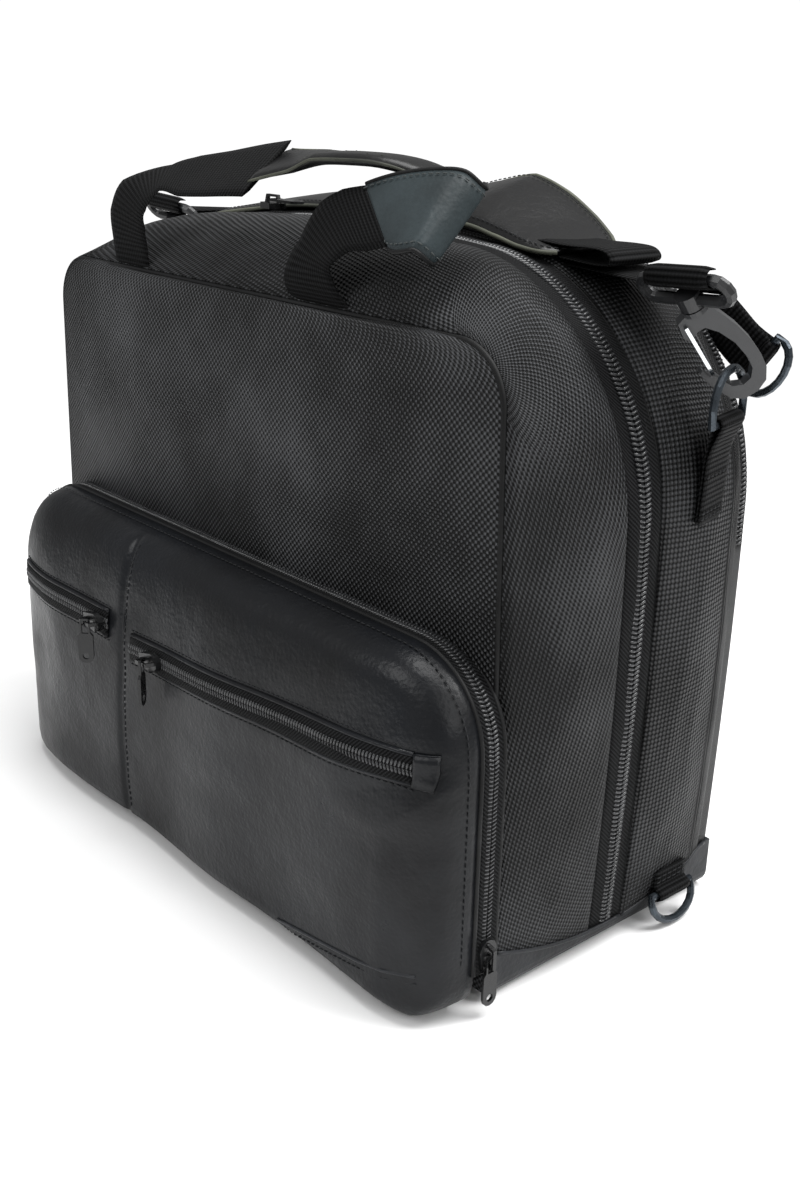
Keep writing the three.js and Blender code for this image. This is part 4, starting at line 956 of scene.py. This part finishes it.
def crossed_square(name, left, right, bottom, top):
    """A stitched square with both diagonals, which sews a handle's end down behind the front cloth."""
    corners = [(left, bottom), (right, bottom), (right, top), (left, top)]
    lines = [(corners[i], corners[(i + 1) % 4]) for i in range(4)]
    lines += [(corners[0], corners[2]), (corners[1], corners[3])]
    for index, (a, b) in enumerate(lines):
        path = [front_surface(mix(a[0], b[0], i / 12), mix(a[1], b[1], i / 12)) for i in range(13)]
        stitch_row(f"{name}_{index}", path, [Vector((0, -1, 0))] * 13, "front_cover")


def build_rear_handle():
    y = BACK_Y + 2.4
    half = [(-88, 318)]
    for i in range(9):
        angle = math.pi * (1 + i / 16)
        half.append((-46 + 42 * math.cos(angle), 288 + 42 * math.sin(angle)))
    points = half + [(-x, z) for x, z in reversed(half)]
    stations = []
    for i, (x, z) in enumerate(points):
        before = points[max(i - 1, 0)]
        after = points[min(i + 1, len(points) - 1)]
        across = (before[1] - after[1], 0, after[0] - before[0])
        stations.append(st(x, y, z, across, STRAP_WEBBING))
    strip("rear_handle_strip", smooth_path(stations, 3), WEBBING, "rear_handle",
          ["rear_handle_webbing"])
    low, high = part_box("rear_handle_wrap")
    middle = (low + high) / 2
    rows = [(Vector((mix(low.x, high.x, i / 8), middle.y, middle.z)), Vector((0, 0, 1)),
             (high.z - low.z) * (1 - 0.05 * math.sin(math.pi * i / 8)), 0.0022) for i in range(9)]
    # The sleeve takes the lightened wrap leather, so it carries the same painted light.
    strip("rear_handle_sleeve", rows, LIT_WRAP_LEATHER, "rear_handle", ["rear_handle_wrap"])


# ---------- tabs and hardware ----------
LOOP = 2.6


def folded_tab(name, body, fold, length, along, out):
    """Webbing sewn down, run to a fold round a ring's bar, and back under itself."""
    along = Vector(along).normalized()
    out = Vector(out)
    out = (out - along * out.dot(along)).normalized()
    bar = along.cross(out)
    thick = 1.5
    radius = LOOP + thick / 2
    lift = LOOP + thick - 0.4
    path = [(-length, thick * 1.5), (-length * 0.6, thick * 1.5), (-length * 0.3, thick * 1.6)]
    for i in range(13):
        angle = math.radians(mix(115, -155, i / 12))
        path.append((radius * math.cos(angle), lift + radius * math.sin(angle)))
    path += [(-length * 0.3, thick * 0.5), (-length * 0.6, thick * 0.5), (-length, thick * 0.5)]
    stations = []
    for u, v in path:
        centre = fold + (along * u + out * v) / 1000
        stations.append((centre, bar, TAB_WEBBING / 1000, thick / 1000))
    for side, sign in (("right", 1), ("left", -1)):
        path = smooth_path(mirrored(stations, sign), 3)
        strip(f"{name}_tab_cloth_{side}", path, TAB_CLOTH, body, [f"{name}_tab_{side}"])
        dress(f"{name}_ring_{side}", RING)
        for index, back in enumerate((3, 6, 24)):
            if back > length * 0.6:
                continue
            row = []
            for reach in (-10.5, 0, 10.5):
                spot = fold + (along * (back - length) + out * (thick * 2 + 0.15) + bar * reach) / 1000
                row.append(Vector((spot.x * sign, spot.y, spot.z)))
            facing = Vector((out.x * sign, out.y, out.z))
            stitch_row(f"{name}_tab_stitch_{side}_{index}", row, [facing] * 3, body)


def build_tabs():
    turn = math.radians(12)
    facing = (math.cos(turn), math.sin(turn), 0)
    folded_tab("side", "body", place(212.4, 124, 278), 50, (0.05, 0, 1), facing)
    folded_tab("bottom", "body", place(205.4, 128, 19), 13, (0, 0, -1), (1, 0, 0))
    folded_tab("top", "rear_flap", place(196, BACK_Y + 0.35, 298), 38, (0.8, 0, -0.6), (0, 1, 0))


def build_hardware():
    for zipper in ("main", "rear", "pocket", "left_zip", "right_zip"):
        dress(f"{zipper}_slider", SLIDER, 0.0004)
        dress(f"{zipper}_pull", SLIDER, 0.0003)
    for side in ("right", "left"):
        dress(f"hook_{side}", HOOK, 0.0007)
        dress(f"hook_gate_{side}", CHROME, 0.0004)
        dress(f"strap_eye_{side}", EYE)


# ---------- shoulder strap ----------
PAD = [
    st(-172, 117, 339.5, (0, 1, 0.02), 50, 3),
    st(-166, 117.3, 341.6, (0, 1, 0.02), 57, 3.5),
    st(-152, 119, 345.8, (0, 1, 0.04), 58, 4),
    st(-118, 121, 352, (0, 1, 0.08), 58, 4),
    st(-78, 122, 357.5, (0, 1, 0.1), 58, 4),
    st(-30, 122, 360.5, (0, 1, 0.12), 58, 4),
    st(10, 121, 362.5, (0, 1, 0.16), 58, 4),
    st(40, 120, 365.5, (0, 1, 0.32), 58, 4),
    st(64, 119.5, 367.5, (0, 1, 0.42), 58, 4),
    st(88, 118, 362.5, (0, 1, 0.34), 58, 4),
    st(108, 116.5, 355.5, (0, 1, 0.2), 58, 4),
    st(122, 115.3, 350.6, (0, 1, 0.08), 54, 3.4),
    st(130, 115, 348.4, (0, 1, 0), 42, 3),
]


def web_stations(start_x, start_z):
    """Webbing from a pad's end, folded flat to the front, then up round the strap eye's far bar."""
    low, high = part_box("strap_eye_right")
    wire = 2.9
    bar_x = (low.x + high.x) * 500
    bar_y = (low.y - FACE_Y) * 1000 + wire
    bar_z = high.z * 1000 - wire
    wrap = wire + 1.4
    half = STRAP_WIDTH / 2
    fold_y = bar_y + 28
    upper = bar_z - wrap
    lower = upper - 2.2
    stations = []
    for i in range(6):
        t = i / 5
        stations.append(st(mix(start_x, bar_x - half, t), fold_y, mix(start_z, lower, t * t * (3 - 2 * t)),
                           (0, 1, 0), STRAP_WIDTH, STRAP_THICKNESS))
    diagonal = half * 2 * math.sqrt(2)
    for lift, push in ((lower, 0), (mix(lower, upper, 0.5), 1.1), (upper, 0)):
        stations.append(st(bar_x + push, fold_y + push, lift, (-1, 1, 0), diagonal, STRAP_THICKNESS))
    stations.append(st(bar_x, fold_y - half, upper, (-1, 0, 0), STRAP_WIDTH, STRAP_THICKNESS))
    for i in range(12):
        angle = math.radians(mix(270, 60, i / 11))
        stations.append(st(bar_x, bar_y + wrap * math.cos(angle), bar_z + wrap * math.sin(angle),
                           (-0.997, 0.05, -0.062), STRAP_WIDTH - 1, STRAP_THICKNESS))
    return stations


SLACK = [(108, 115, 353), (132, 114, 352), (152, 112.5, 352.5), (161, 111.5, 351.6), (165, 111, 348.6),
         (162.5, 111.5, 345.9), (150, 112.5, 345.2), (128, 114, 346.4)]


def build_strap():
    pad = smooth_path(PAD, 8)
    piece = strip("shoulder_pad_leather", pad, PAD_LEATHER, "body", ["shoulder_pad"], 0.0014)
    for side, sign in (("near", -1), ("far", 1)):
        tube(f"pad_binding_{side}", edge_path(pad, sign), 0.0012, LIGHT_EDGE, "body", 6)
        lane = edge_path(pad, sign, 1.2, 0.0045)
        stitch_row(f"pad_stitch_{side}", lane, face_normals(pad), "body")
    slack = [st(x, y, z, (0, 1, 0), STRAP_WIDTH, STRAP_THICKNESS) for x, y, z in SLACK]
    strip("strap_web_slack", smooth_path(slack, 4), WEBBING, "body")
    for side, sign, start_x, start_z in (("right", 1, 130, 342.8), ("left", -1, 166, 339)):
        path = smooth_path(mirrored(web_stations(start_x, start_z), sign), 3)
        strip(f"strap_web_{side}", path, WEBBING, "body", [f"strap_webbing_{side}"])


# ---------- floor and light ----------
def build_floor():
    """A white floor that fades into the pale room around it, a step away from the bag."""
    reach = 4.0
    mesh = bpy.data.meshes.new("floor")
    mesh.from_pydata([(-reach, -reach, 0), (reach, -reach, 0), (reach, reach, 0), (-reach, reach, 0)], [],
                     [(0, 1, 2, 3)])
    floor = bpy.data.objects.new("floor", mesh)
    bpy.context.scene.collection.objects.link(floor)
    n = Nodes("floor")
    place_on_floor = n.add("ShaderNodeTexCoord").outputs["Object"]
    away = n.add("ShaderNodeVectorMath", {0: place_on_floor}, operation="LENGTH").outputs["Value"]
    fade = {"Value": away, 1: 0.55, 2: 1.5, 3: 1.0, 4: 0.0}
    solid = n.add("ShaderNodeMapRange", fade, interpolation_type="SMOOTHSTEP")
    n.set("Alpha", solid.outputs[0])
    mesh.materials.append(n.finish((0.86, 0.86, 0.86), 0.85, Specular_IOR_Level=0.05))


def build_light():
    """Soft studio light: a pale room, and lamps overhead, behind on the right, in front and at the right."""
    world = bpy.data.worlds.new("studio")
    bpy.context.scene.world = world
    world.use_nodes = True
    tree = world.node_tree
    background = tree.nodes["Background"]
    background.inputs["Color"].default_value = (1, 1, 1, 1)
    seen = tree.nodes.new("ShaderNodeLightPath")
    level = tree.nodes.new("ShaderNodeMapRange")
    level.inputs[3].default_value = 0.32
    level.inputs[4].default_value = 1.05
    tree.links.new(seen.outputs["Is Camera Ray"], level.inputs["Value"])
    tree.links.new(level.outputs[0], background.inputs["Strength"])
    for name, spot, size, power in (
        ("top_lamp", (0.1, 0.1, 2.3), 1.3, 44),
        ("back_lamp", (1.0, 1.0, 1.9), 1.1, 50),
        ("front_lamp", (-0.5, -1.7, 1.5), 1.1, 18),
        ("side_lamp", (1.9, -0.3, 1.3), 0.9, 15),
    ):
        data = bpy.data.lights.new(name, "AREA")
        data.size = size
        data.energy = power
        light = bpy.data.objects.new(name, data)
        light.location = spot
        light.rotation_euler = (Vector((0, 0, 0.18)) - Vector(spot)).to_track_quat("-Z", "Y").to_euler()
        bpy.context.scene.collection.objects.link(light)
    bpy.context.scene.view_settings.view_transform = "Standard"


build_front()
build_rear()
build_main_zip()
build_rear_zip()
build_boot()
build_pocket()
build_pocket_zips()
build_rim_zip()
build_front_handle()
build_rear_handle()
build_tabs()
build_hardware()
build_strap()
build_floor()
build_light()
